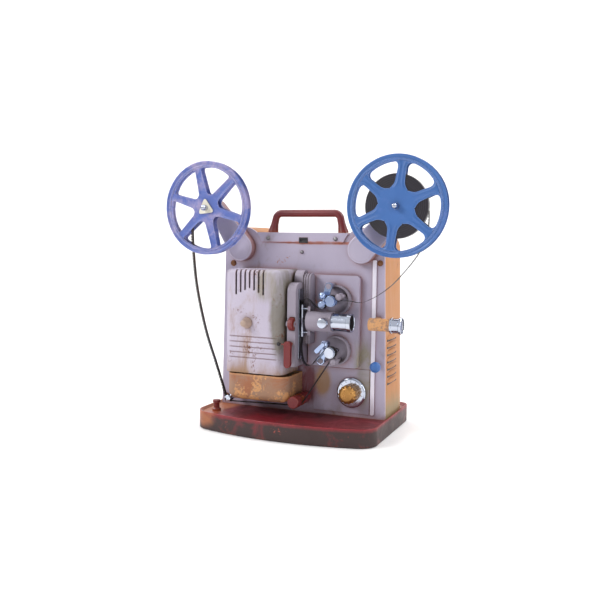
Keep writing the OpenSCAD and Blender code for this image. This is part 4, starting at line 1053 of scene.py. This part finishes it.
@dataclass
class Reel:
    """Stamped steel reel: two flanges with six windows, and a core."""

    node: str
    centre: Point
    turn: float
    finish: Finish
    hub: float = 19.5
    fillet: float = 6.0
    spoke: float = 5.2
    rim: float = 55.0
    radius: float = 63.5
    gap: float = FLANGE_OFF
    open_steps: int = 5
    cross: tuple = (-1, -0.86, -0.68, -0.52, -0.36, -0.2, 0.2, 0.36, 0.52, 0.68, 0.86, 1)
    ribs: tuple = (0.1, 0.1, 0.1, 0.95, 0.95, 0.2, 0.2, 0.95, 0.95, 0.1, 0.1, 0.1)

    def half_width(self, r: float) -> float:
        """Returns a spoke's half width at a radius, wider at its rounded ends."""
        wide = self.spoke + 1.6 * max(0.0, 1 - (r - self.hub) / 30)
        for reach in (r - self.hub, self.rim - r):
            if reach < self.fillet:
                down = self.fillet - max(0.0, reach)
                wide += self.fillet - math.sqrt(max(0.0, self.fillet**2 - down**2))
        return wide

    def flange(self, shape: Shape, y: float, out: float) -> None:
        """Presses one flange: rolled rim, ribbed spokes and windows.

        Args:
            shape: the mesh it is added to.
            y: the flange's inner face.
            out: -1 for the front flange and 1 for the back one.
        """
        f = self.fillet
        hub, rim = self.hub, self.rim
        radii = [4.1, 6, 9, 13, hub - 2, hub - 0.5]
        span = [hub + f * (1 - math.cos(math.radians(a))) for a in (2, 25, 45, 65, 85)]
        span += [hub + f + (rim - hub - 2 * f) * k / 6 for k in range(1, 6)]
        span += [rim - f * (1 - math.cos(math.radians(a))) for a in (85, 65, 45, 25, 2)]
        ends = ((rim + 0.5, 0.1), (rim + 1.1, 0.1), (rim + 1.6, 0.9), (rim + 2.8, 0.95), (rim + 3.4, 0.15))
        ends += ((rim + 4.6, 0.15), (60.4, 0.2), (61.2, 0.95), (62.4, 1.0), (63.1, 0.85), (self.radius, 0.3))
        rolled = dict(ends)
        radii += span + [r for r, _ in ends]
        cross = self.cross
        per_spoke = len(cross) - 1 + self.open_steps
        columns = 6 * per_spoke
        rows = len(radii) - 1
        grid = bmesh.ops.create_grid(shape.bm, x_segments=columns, y_segments=rows, size=1.0)["verts"]
        cells = {}
        for v in grid:
            i = round((v.co.x + 1) / 2 * columns)
            j = round((v.co.y + 1) / 2 * rows)
            r = radii[j]
            inside = min(max(r, hub), rim)
            half = math.degrees(math.asin(min(0.98, self.half_width(inside) / inside)))
            if r < hub:
                half += (26 - half) * min(1.0, (hub - r) / 6)
            half = min(half, 28.5)
            sector, k = divmod(i, per_spoke)
            if k < len(cross):
                a = cross[k] * half
            else:
                a = half + (60 - 2 * half) * (k - len(cross) + 1) / self.open_steps
            spoke = k < len(cross) and hub - 3 < r < rim + 1
            lift = 0.55 if r < hub else 0.1
            if spoke:
                lift = self.ribs[k] + (0.55 - self.ribs[k]) * max(0.0, 1 - (r - hub + 3) / 6)
            lift = rolled.get(r, lift)
            x, z = polar(self.centre, r, self.turn + 60 * sector + a)
            v.co = (x, y + out * lift, z)
            cells[v] = (k, j)
        first = len(radii) - len(span) - len(ends)
        cut = []
        for face in {face for v in grid for face in v.link_faces}:
            ks, js = zip(*(cells[v] for v in face.verts))
            window = all(first <= j < first + len(span) for j in js)
            if window and (max(ks) > len(cross) - 1 or (0 in ks and max(ks) != 1)):
                cut.append(face)
        bmesh.ops.delete(shape.bm, geom=cut, context="FACES")

    def build(self) -> None:
        """Makes both flanges and the core."""
        shape = Shape()
        self.flange(shape, FILM_Y - self.gap - 0.05, -1)
        self.flange(shape, FILM_Y + self.gap + 0.05, 1)
        bmesh.ops.remove_doubles(shape.bm, verts=shape.bm.verts, dist=0.01)
        bmesh.ops.recalc_face_normals(shape.bm, faces=shape.bm.faces)
        bmesh.ops.solidify(shape.bm, geom=shape.bm.faces[:], thickness=0.4)
        shape.skin(self.node, "reel_enamel", self.finish, sharp=50)
        core = [(4.1, -4.7), (15.4, -4.7), (15.4, 4.7), (4.1, 4.7), (4.1, -4.7)]
        Shape().turned(core, (self.centre[0], FILM_Y, self.centre[1]), Axis.Y).place(
            self.node + "_core", self.node, [], "reel_enamel", self.finish
        )


@dataclass
class LampHouse:
    """Ventilated lamp cover, its knob and stop, and the scorched foot below."""

    x0: float = -88.0
    x1: float = -3.0
    y0: float = -65.0
    back: float = -10.3
    z0: float = 79.0
    z1: float = 216.0
    corner: float = 11.0
    wall: float = 2.0
    sharp: float = 32.0

    def shell(self, x0: float, x1: float, y0: float, z0: float, z1: float, r: float, top: float) -> Shape:
        """Returns a box with round front corners and a round top, open behind.

        Args:
            x0: left side.
            x1: right side.
            y0: front.
            z0: bottom.
            z1: top.
            r: radius of the upright corners.
            top: radius of the top edges.

        Returns:
            The closed shape.
        """
        shape = Shape().block((x0, y0, z0), (x1, self.back, z1))
        shape.bevel(self.uprights(shape, y0), r, 8)
        shape.bevel(self.level(shape, z1, self.back), top, 6)
        return shape

    def uprights(self, shape: Shape, front: float) -> list[bmesh.types.BMEdge]:
        """Returns a block's upright edges at its front."""
        edges = [e for e in shape.bm.edges if e.verts[0].co.y < front + 1]
        return [e for e in edges if abs(e.verts[0].co.z - e.verts[1].co.z) > 10]

    def level(self, shape: Shape, z: float, back: float) -> list[bmesh.types.BMEdge]:
        """Returns the edges at a height, save those along the back."""
        edges = [e for e in shape.bm.edges if all(abs(v.co.z - z) < NEAR_MM for v in e.verts)]
        return [e for e in edges if not all(v.co.y > back - NEAR_MM for v in e.verts)]

    def cut(self, piece: bpy.types.Object, cutter: Shape) -> None:
        """Takes a shape out of a piece.

        Args:
            piece: the piece.
            cutter: what is taken out.
        """
        bmesh.ops.recalc_face_normals(cutter.bm, faces=cutter.bm.faces)
        tool = stand("cutter", cutter.mesh("cutter"))
        piece.modifiers.clear()
        mod = piece.modifiers.new("cut", "BOOLEAN")
        mod.object, mod.operation, mod.solver = tool, "DIFFERENCE", "EXACT"
        graph = bpy.context.evaluated_depsgraph_get()
        done = bpy.data.meshes.new_from_object(piece.evaluated_get(graph))
        piece.modifiers.clear()
        spent = (piece.data, tool.data)
        piece.data = done
        bpy.data.objects.remove(tool)
        for mesh in spent:
            bpy.data.meshes.remove(mesh)
        shade(piece, self.sharp)

    def build(self) -> None:
        """Makes the cover, its slots and grooves, the knob, the stop and the foot."""
        cover = self.shell(self.x0, self.x1, self.y0, self.z0, self.z1, self.corner, 5.0)
        piece = cover.skin("lamp_cover", "body_enamel", LAMP_ENAMEL, sharp=self.sharp)
        w = self.wall
        inner = self.shell(
            self.x0 + w, self.x1 - w, self.y0 + w, self.z0 - 4, self.z1 - 3.5, self.corner - w, 3.0
        )
        for v in inner.bm.verts:
            if v.co.y > self.back - 0.1:
                v.co.y += 4
        self.cut(piece, inner)
        slots = Shape()
        for i in range(7):
            x = -71.5 + 6.6 * i
            deep = 24 + 3 * abs(i - 3)
            slots.block((x, self.y0 - 3, self.z1 - deep), (x + 2.4, self.y0 + 24, self.z1 + 3), 0.9, 2)
        slots.turned([(0, -4), (7, -4), (7, 4), (0, 4)], (self.x1 - 1, FILM_Y, AXIS_Z), Axis.X, 40)
        self.cut(piece, slots)
        grooves = Shape()
        for i in range(5):
            z = self.z0 + 20 + 7 * i
            grooves.block((self.x0 + 7, self.y0 - 2, z), (self.x1 - 7, self.y0 + 0.75, z + 1.3), 0.35, 2)
        self.cut(piece, grooves)
        knob = [
            (0, -12.4), (2.2, -12.2), (4.0, -11.3), (4.7, -9.6), (5.3, -6.5), (6.6, -2.6), (7.4, -1.2),
            (7.4, -0.3), (6.9, 0), (2.1, 0), (2.1, 4.6), (0, 4.6),
        ]
        shape = Shape().turned(knob, (-54, self.y0 - 0.3, AXIS_Z - 5), Axis.Y)
        shape.skin("lamp_cover_knob", "knob_plastic", AGED_MOULDING)
        stop = [
            (0, -6.5), (1.4, -6.2), (2.4, -5.0), (2.6, -4.0), (2.2, -2.6), (1.3, -1.8), (1.2, 0.6), (0, 0.6),
        ]
        Shape().turned(stop, (-6, self.y0, AXIS_Z - 29.5), Axis.Y, 32).place(
            "lamp_cover_stop", "lamp_cover", [], "black_plastic", BLACK_MOULDING
        )
        low, high = (self.x0 + 2, self.y0 + 2, 41), (3, -10.05, 77)
        foot = Shape().block(low, high)
        foot.bevel(self.uprights(foot, low[1]), 12, 8)
        foot.bevel(self.level(foot, low[2], high[1]), 11, 8)
        top = [f for f in foot.bm.faces if f.calc_center_median().z > 76.9]
        bmesh.ops.inset_region(foot.bm, faces=top, thickness=2.0, use_even_offset=True)
        bmesh.ops.translate(foot.bm, vec=(0, 0, -30), verts=list({v for f in top for v in f.verts}))
        foot.skin("lamp_base", "lamp_base_enamel", SCORCHED_ENAMEL, "machine")


@dataclass
class Optics:
    """Lens barrel, its focus knob, and the attachment lens on the right."""

    def build(self) -> None:
        """Turns each piece."""
        y, z = FILM_Y, AXIS_Z
        barrel = [
            (9.5, 27), (11.2, 27), (11.5, 27.4), (11.5, 60), (11.1, 60.3), (11.1, 61.2), (11.5, 61.5),
            (11.5, 79.4), (12.2, 80), (12.2, 84.4), (11.8, 85), (10.4, 85), (9.5, 83.6), (9.5, 27),
        ]
        Shape().turned(barrel, (0, y, z), Axis.X, 96).skin("lens_barrel", "chrome_plate", CHROME)
        sleeve = [(9.1, 28), (9.45, 28), (9.45, 83.6), (9.1, 83.4), (9.1, 28)]
        Shape().turned(sleeve, (0, y, z), Axis.X, 72).place(
            "lens_barrel_baffle", "lens_barrel", [], "chrome_plate", BLACK_MOULDING
        )
        knob = [
            (0, -66.9), (5.2, -66.9), (6.0, -66.5), (6.4, -65.6), (6.4, -60.4), (6.0, -59.4), (5.4, -59.1),
            (5.4, -53.4), (0, -53.4),
        ]
        Shape().turned(knob, (52, 0, z), Axis.Y, 48).skin("focus_knob", "chrome_plate", CHROME)
        tube = [
            (5.6, 107.6), (7.7, 107.6), (8, 108), (8, 134.6), (7.7, 135), (6.8, 135), (6.8, 145.4),
            (5.6, 145.4), (5.6, 107.6),
        ]
        shape = Shape().turned(tube, (0, y, z), Axis.X, 72)
        shape.block((107.6, y + 6, z - 6), (114, PANEL_Y - 0.05, z + 6), 1.2, 3)
        shape.skin("attachment_tube", "side_enamel", SCORCHED_ENAMEL, "machine")
        ring = [
            (6.85, 135.3), (9.6, 135.3), (10.1, 135.8), (10.1, 137.6), (9.6, 138), (9.5, 138.4), (9.5, 146.6),
            (10.6, 147), (11.1, 147.5), (11.1, 150), (10.7, 150.5), (9.8, 150.5), (9.5, 150.1), (9.5, 147.5),
            (6.85, 147.5), (6.85, 135.3),
        ]
        Shape().turned(ring, (0, y, z), Axis.X, 96).skin("attachment_ring", "chrome_plate", CHROME)


@dataclass
class Controls:
    """Switch knob on its dial, the push knob, rollers and the framing wheel."""

    dial: Point = (75.3, 54.8)

    def build(self) -> None:
        """Makes each control."""
        x, z = self.dial
        dial = [
            (2.55, -2.4), (2.55, -17), (17.2, -17), (18.2, -16.6), (18.6, -15.9), (19.4, -15.6), (20, -15.0),
            (20, -12), (19.5, -11.5), (5, -11.5), (5, -2.4), (2.55, -2.4),
        ]
        Shape().turned(dial, (x, 0, z), Axis.Y, 96).skin("speed_dial", "chrome_plate", CHROME)
        marks = Shape()
        for i in range(13):
            angle = math.radians(-60 + 25 * i)
            made = bmesh.ops.create_cube(marks.bm, size=1.0)["verts"]
            bmesh.ops.scale(marks.bm, vec=(2.6, 0.12, 0.45), verts=made)
            middle = Matrix.Translation((x, -17.0, z)) @ Matrix.Rotation(-angle, 4, "Y")
            spot = middle @ Matrix.Translation((15.6, 0, 0))
            bmesh.ops.transform(marks.bm, matrix=spot, verts=made)
        marks.place("speed_dial_marks", "speed_dial", [], "black_plastic", BLACK_MOULDING)
        knob = [
            (0, -33.9), (7.6, -33.9), (9.0, -33.5), (9.6, -32.4), (11.4, -31.8), (12.4, -30.6), (12.6, -29),
            (12.6, -18.4), (12.2, -17.4), (2.5, -17.4), (2.5, 1.4), (0, 1.4),
        ]
        shape = Shape().turned(knob, (x, 0, z), Axis.Y, 112).fluted((x, 0, z), Axis.Y, 11.3, 14, 0.045)
        shape.skin("switch_knob", "gold_knob", GOLD_KNOB, sharp=50)
        push = [
            (0, -30), (3.2, -29.9), (4.5, -29.4), (6.4, -27.6), (7, -26.4), (7, -22.6), (6.6, -22), (4, -22),
            (4, -17.5), (2.5, -17.5), (2.5, -3.5), (0, -3.5),
        ]
        Shape().turned(push, (111.0, 0, 93.4), Axis.Y, 48).skin("rewind_knob", "reel_enamel", REEL_BLUE)
        low = [
            (2.55, -58.3), (2.55, -17.8), (7.4, -17.8), (8, -18.4), (8, -38.1), (7.6, -38.5), (6.4, -38.5),
            (6.4, -47.5), (7.6, -47.5), (8, -48), (8, -59.2), (7.2, -60), (0, -60), (0, -58.3), (2.55, -58.3),
        ]
        shape = Shape().turned(low, (BOTTOM_ROLLER[0], 0, BOTTOM_ROLLER[1]), Axis.Y)
        shape.skin("bottom_roller", "maroon_plastic", MAROON_MOULDING)
        guide = [
            (1.85, -47.3), (1.85, -37.5), (4.2, -37.5), (4.5, -37.8), (4.5, -38.4), (3.5, -38.6),
            (3.5, -47.4), (4.5, -47.6), (4.5, -48.2), (4.0, -48.5), (0, -48.5), (0, -47.3), (1.85, -47.3),
        ]
        shape = Shape().turned(guide, (GUIDE_ROLLER[0], 0, GUIDE_ROLLER[1]), Axis.Y, 48)
        shape.skin("guide_roller", "chrome_plate", CHROME)
        wheel = [
            (0, 2.5), (1.5, 2.5), (1.5, 5), (7.8, 5), (8.5, 5.7), (8.5, 10.8), (7.8, 11.5), (1.5, 11.5),
            (1.5, 12.7), (0, 12.7),
        ]
        hub = (0, -59, AXIS_Z - 3.7)
        shape = Shape().turned(wheel, hub, Axis.X, 96).fluted(hub, Axis.X, 8.4, 24, 0.02)
        shape.skin("framing_wheel", "maroon_plastic", MAROON_MOULDING, sharp=50)


@dataclass
class FilmPath:
    """The threaded film: perforated strips and the roll on the supply reel."""

    pitch: float = 3.81
    width: float = 8.0
    thick: float = 0.16
    track: float = 7.8
    wrap: float = 5.1

    def roller(self, sprocket: Point, angle: float) -> Point:
        """Returns where a roller sits beside a sprocket."""
        return polar(sprocket, self.track + self.wrap, angle)

    def strip(self, path: Sequence[Point], name: str, body: str) -> bpy.types.Object:
        """Makes a perforated strip that follows a path.

        Args:
            path: points across and up.
            name: the CAD node it stands for.
            body: the body it rides on, or nothing for a strip that runs from the machine to an arm.

        Returns:
            The piece.
        """
        step = self.pitch / 3
        runs = [0.0]
        for a, b in zip(path, path[1:]):
            runs.append(runs[-1] + math.dist(a, b))
        count = int(runs[-1] / step)
        spots: list[Point] = []
        k = 0
        for i in range(count + 1):
            s = runs[-1] * i / count
            while k < len(runs) - 2 and runs[k + 1] < s:
                k += 1
            t = (s - runs[k]) / max(runs[k + 1] - runs[k], 1e-6)
            a, b = path[k], path[k + 1]
            spots.append((a[0] + (b[0] - a[0]) * t, a[1] + (b[1] - a[1]) * t))
        across = (0.0, 0.55, 2.38, self.width)
        shape = Shape()
        grid = bmesh.ops.create_grid(shape.bm, x_segments=count, y_segments=3, size=1.0)["verts"]
        cells = {}
        for v in grid:
            i, j = round((v.co.x + 1) / 2 * count), round((v.co.y + 1) / 2 * 3)
            cells[v] = (i, j)
            v.co = (spots[i][0], FILM_Y - self.width / 2 + across[j], spots[i][1])
        holes = []
        for face in shape.bm.faces:
            low = min(cells[v][0] for v in face.verts), min(cells[v][1] for v in face.verts)
            if low[1] == 1 and low[0] % 3 == 1:
                holes.append(face)
        bmesh.ops.delete(shape.bm, geom=holes, context="FACES")
        bmesh.ops.solidify(shape.bm, geom=shape.bm.faces[:], thickness=self.thick)
        return shape.place(name + "_skin", body, [name], "film_stock", FILM, 40)

    def build(self) -> None:
        """Makes the strips along their paths and the wound roll."""
        sx, sz = SUPPLY
        start = polar(SUPPLY, 40.6, -8)
        turn = arc(self.roller(UPPER, 27), self.wrap, 262, 212, 5)
        slack = [(39, -30), (29, -57), (5, -88), (-12, -104), (-29, -115), (-44, -121)]
        hang = [start] + [(sx + x, sz + z) for x, z in slack]
        supply = smooth_path(hang + [(turn[0][0] + 12, turn[0][1] + 0.4), turn[0]], 8) + turn[1:]
        piece = self.strip(supply, "film_supply", "")
        self.bend(piece, "supply_arm", turn[-1], start)
        over = arc(UPPER, self.track, 33, 199, 24)
        rnd = arc(self.roller(UPPER, 203), self.wrap, 17, -72, 12)
        enter = arc(LOWER, self.track, 140, -62, 28)
        leave = arc(self.roller(LOWER, -66), self.wrap, 119, 146, 4)
        uz, lz, fx = UPPER[1], LOWER[1], 15.2
        upper = smooth_path(
            [rnd[-1], (40, uz - 10.4), (34, uz - 8), (28.5, uz - 2.5), (22.5, uz + 1.5), (17.4, uz - 0.5),
             (fx, uz - 6.5), (fx, uz - 15), (fx, lz + 14)], 8,
        )
        lower = smooth_path(
            [(fx, lz + 14), (fx, lz + 1), (18, lz - 13), (24, lz - 19), (31, lz - 17), (37, lz - 9.5),
             (enter[0][0] - 5, enter[0][1] - 5.7), enter[0]], 8,
        )
        out = arc(BOTTOM_ROLLER, 6.9, 326, 272, 8) + arc(GUIDE_ROLLER, 4.0, 272, 204, 8)
        self.strip(over + rnd + upper[1:] + lower[1:-1] + enter + leave + out, "film_gate", "machine")
        cx, cz = TAKEUP
        first = polar(GUIDE_ROLLER, 4.0, 192)
        end = (cx - 16.5, cz)
        takeup = smooth_path(
            [first, (-112, 82.7), (-129, 129.7), (-143, 187.7), (-149, 237.7), (cx - 24, cz - 24), end], 8
        )
        piece = self.strip(takeup, "film_takeup", "")
        self.bend(piece, "takeup_arm", first, end)
        ring = [
            (15.6, -3.95), (39.2, -3.95), (40, -3.6), (40, 3.6), (39.2, 3.95), (15.6, 3.95), (15.6, -3.95),
        ]
        shape = Shape().turned(ring, (sx, FILM_Y, sz), Axis.Y, 96)
        shape.skin("film_roll", "film_stock", ROLL, "supply_reel")

    def bend(self, piece: bpy.types.Object, arm: str, low: Point, high: Point) -> None:
        """Bakes a strip's placement into its mesh.

        Args:
            piece: the strip.
            arm: not used.
            low: not used.
            high: not used.
        """
        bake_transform(piece)


@dataclass
class HubPlate:
    """Small bare three-cornered plate on the front of the take-up reel."""

    size: float = 9.5

    def build(self) -> None:
        """Makes the plate."""
        outline: list[Point] = []
        for i in range(3):
            turn = 96 + 120 * i
            outline += arc(polar(TAKEUP, self.size, turn), 2.6, turn - 60, turn + 60, 5)
        front = FILM_Y - FLANGE_OFF - 1.05
        shape = Shape().plate(outline, front - 1.0, front)
        shape.soften(0.4, 2)
        shape.place("reel_hub_plate", "takeup_reel", [], "body_enamel", CREAM_PLATE)


@dataclass
class Studio:
    """Pale sweep, soft lamps and the camera."""

    azimuth: float = 23.0
    elevation: float = 4.85
    roll: float = 0.71
    lens: float = 44.3
    distance: float = 1.0016
    target: tuple[float, float, float] = (-0.0017, -0.010, 0.1744)

    def build(self) -> None:
        """Sets the stage, the lamps, the world and the camera."""
        self.sweep()
        self.lamps()
        self.world()
        self.camera()

    def sweep(self) -> None:
        """Makes the floor and the wall behind as one curved sheet."""
        profile = [(-9.0, 0.0), (1.2, 0.0)] + arc((1.2, 1.0), 1.0, -90, 0, 12) + [(2.2, 4.0)]
        bm = bmesh.new()
        verts = [bm.verts.new((-5.0, y, z)) for y, z in profile]
        edges = [bm.edges.new(p) for p in zip(verts, verts[1:])]
        out = bmesh.ops.extrude_edge_only(bm, edges=edges)["geom"]
        bmesh.ops.translate(bm, vec=(10, 0, 0), verts=[g for g in out if isinstance(g, bmesh.types.BMVert)])
        bmesh.ops.remove_doubles(bm, verts=bm.verts, dist=0.0001)
        bmesh.ops.recalc_face_normals(bm, faces=bm.faces)
        mesh = bpy.data.meshes.new("studio_sweep")
        bm.to_mesh(mesh)
        bm.free()
        mesh.shade_smooth()
        mesh.materials.append(Finish("paper_backdrop_matt", "#fbfafa", 0.9, 0.0, 4.0, 0.0).material())
        stand("studio_sweep", mesh)

    def lamps(self) -> None:
        """Adds the key, fill and top lamps, and two that light the wall."""
        table = (
            ("key_lamp", (-1.1, -1.2, 1.2), 0.7, 21.0),
            ("fill_lamp", (1.6, -1.0, 0.7), 1.0, 6.0),
            ("top_lamp", (0.1, 0.5, 1.7), 1.2, 9.0),
            ("wall_lamp_left", (-2.2, 0.6, 2.6), 1.6, 60.0),
            ("wall_lamp_right", (2.2, 0.6, 2.6), 1.6, 60.0),
        )
        for name, spot, size, power in table:
            lamp = bpy.data.lights.new(name, "AREA")
            lamp.energy, lamp.size = power, size
            thing = stand(name, lamp)
            thing.location = spot
            target = (0, 2.2, 0.8) if name.startswith("wall") else (0, 0, 0.17)
            aim = Vector(target) - Vector(spot)
            thing.rotation_euler = aim.to_track_quat("-Z", "Y").to_euler()

    def world(self) -> None:
        """Lights the room evenly and leaves what the camera sees of it white."""
        world = bpy.data.worlds.new("studio_air")
        world.use_nodes = True
        tree = world.node_tree
        shade = tree.nodes["Background"]
        feed(tree, shade, {"Color": linear("#f2f3f6")})
        path = add(tree, "LightPath").outputs
        shown = maths(tree, "MAXIMUM", path["Is Camera Ray"], path["Is Glossy Ray"])
        seen = maths(tree, "MAXIMUM", shown, path["Is Transmission Ray"])
        feed(tree, shade, {"Strength": remap(tree, seen, (0.0, 1.0), (0.28, 0.9))})
        bpy.context.scene.world = world

    def camera(self) -> None:
        """Stands the camera at its angle and distance."""
        az, el, roll = (math.radians(v) for v in (self.azimuth, self.elevation, self.roll))
        back = Vector((math.sin(az) * math.cos(el), -math.cos(az) * math.cos(el), math.sin(el)))
        right = Vector((math.cos(az), math.sin(az), 0))
        up = back.cross(right)
        across = math.cos(roll) * right + math.sin(roll) * up
        over = back.cross(across)
        data = bpy.data.cameras.new("studio_camera")
        data.lens, data.sensor_width, data.clip_start = self.lens, 36.0, 0.01
        camera = stand("studio_camera", data)
        turn = Matrix((across, over, back)).transposed().to_4x4()
        camera.matrix_world = Matrix.Translation(Vector(self.target) + back * self.distance) @ turn
        bpy.context.scene.camera = camera


def main() -> None:
    """Builds every sub-assembly and the studio."""
    logging.basicConfig(level=logging.INFO, format="%(message)s")
    FRAME.update(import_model())
    record = FRAME["record"]
    body_of = {node: body for body, nodes in record["behaviour"]["bodies"].items() for node in nodes}
    slot_of = {entry["node"]: entry["material_slot"] for entry in record["subparts"]}
    bpy.context.scene.view_settings.view_transform = "Standard"
    CadPieces().build(body_of, slot_of)
    Base().build()
    Housing().build()
    Handle().build()
    Screws().build()
    supply = ReelArm("supply_arm", PIVOT, SUPPLY)
    takeup = ReelArm("takeup_arm", (-PIVOT[0], PIVOT[1]), TAKEUP)
    supply.build()
    supply.spindle("supply_reel", "supply_spindle")
    takeup.build()
    takeup.spindle("takeup_reel", "takeup_spindle")
    Reel("supply_reel", SUPPLY, 22.0, REEL_BLUE, hub=23.0, fillet=8.0, spoke=5.0).build()
    channel = (0.95, 0.95, 0.85, 0.2, 0.1, 0.1, 0.1, 0.1, 0.2, 0.85, 0.95, 0.95)
    Reel("takeup_reel", TAKEUP, 44.0, REEL_LAVENDER, hub=19.0, fillet=3.2, spoke=4.6, ribs=channel).build()
    HubPlate().build()
    LampHouse().build()
    Optics().build()
    Controls().build()
    FilmPath().build()
    Studio().build()
    bpy.context.view_layer.update()


if __name__ == "__main__":
    main()
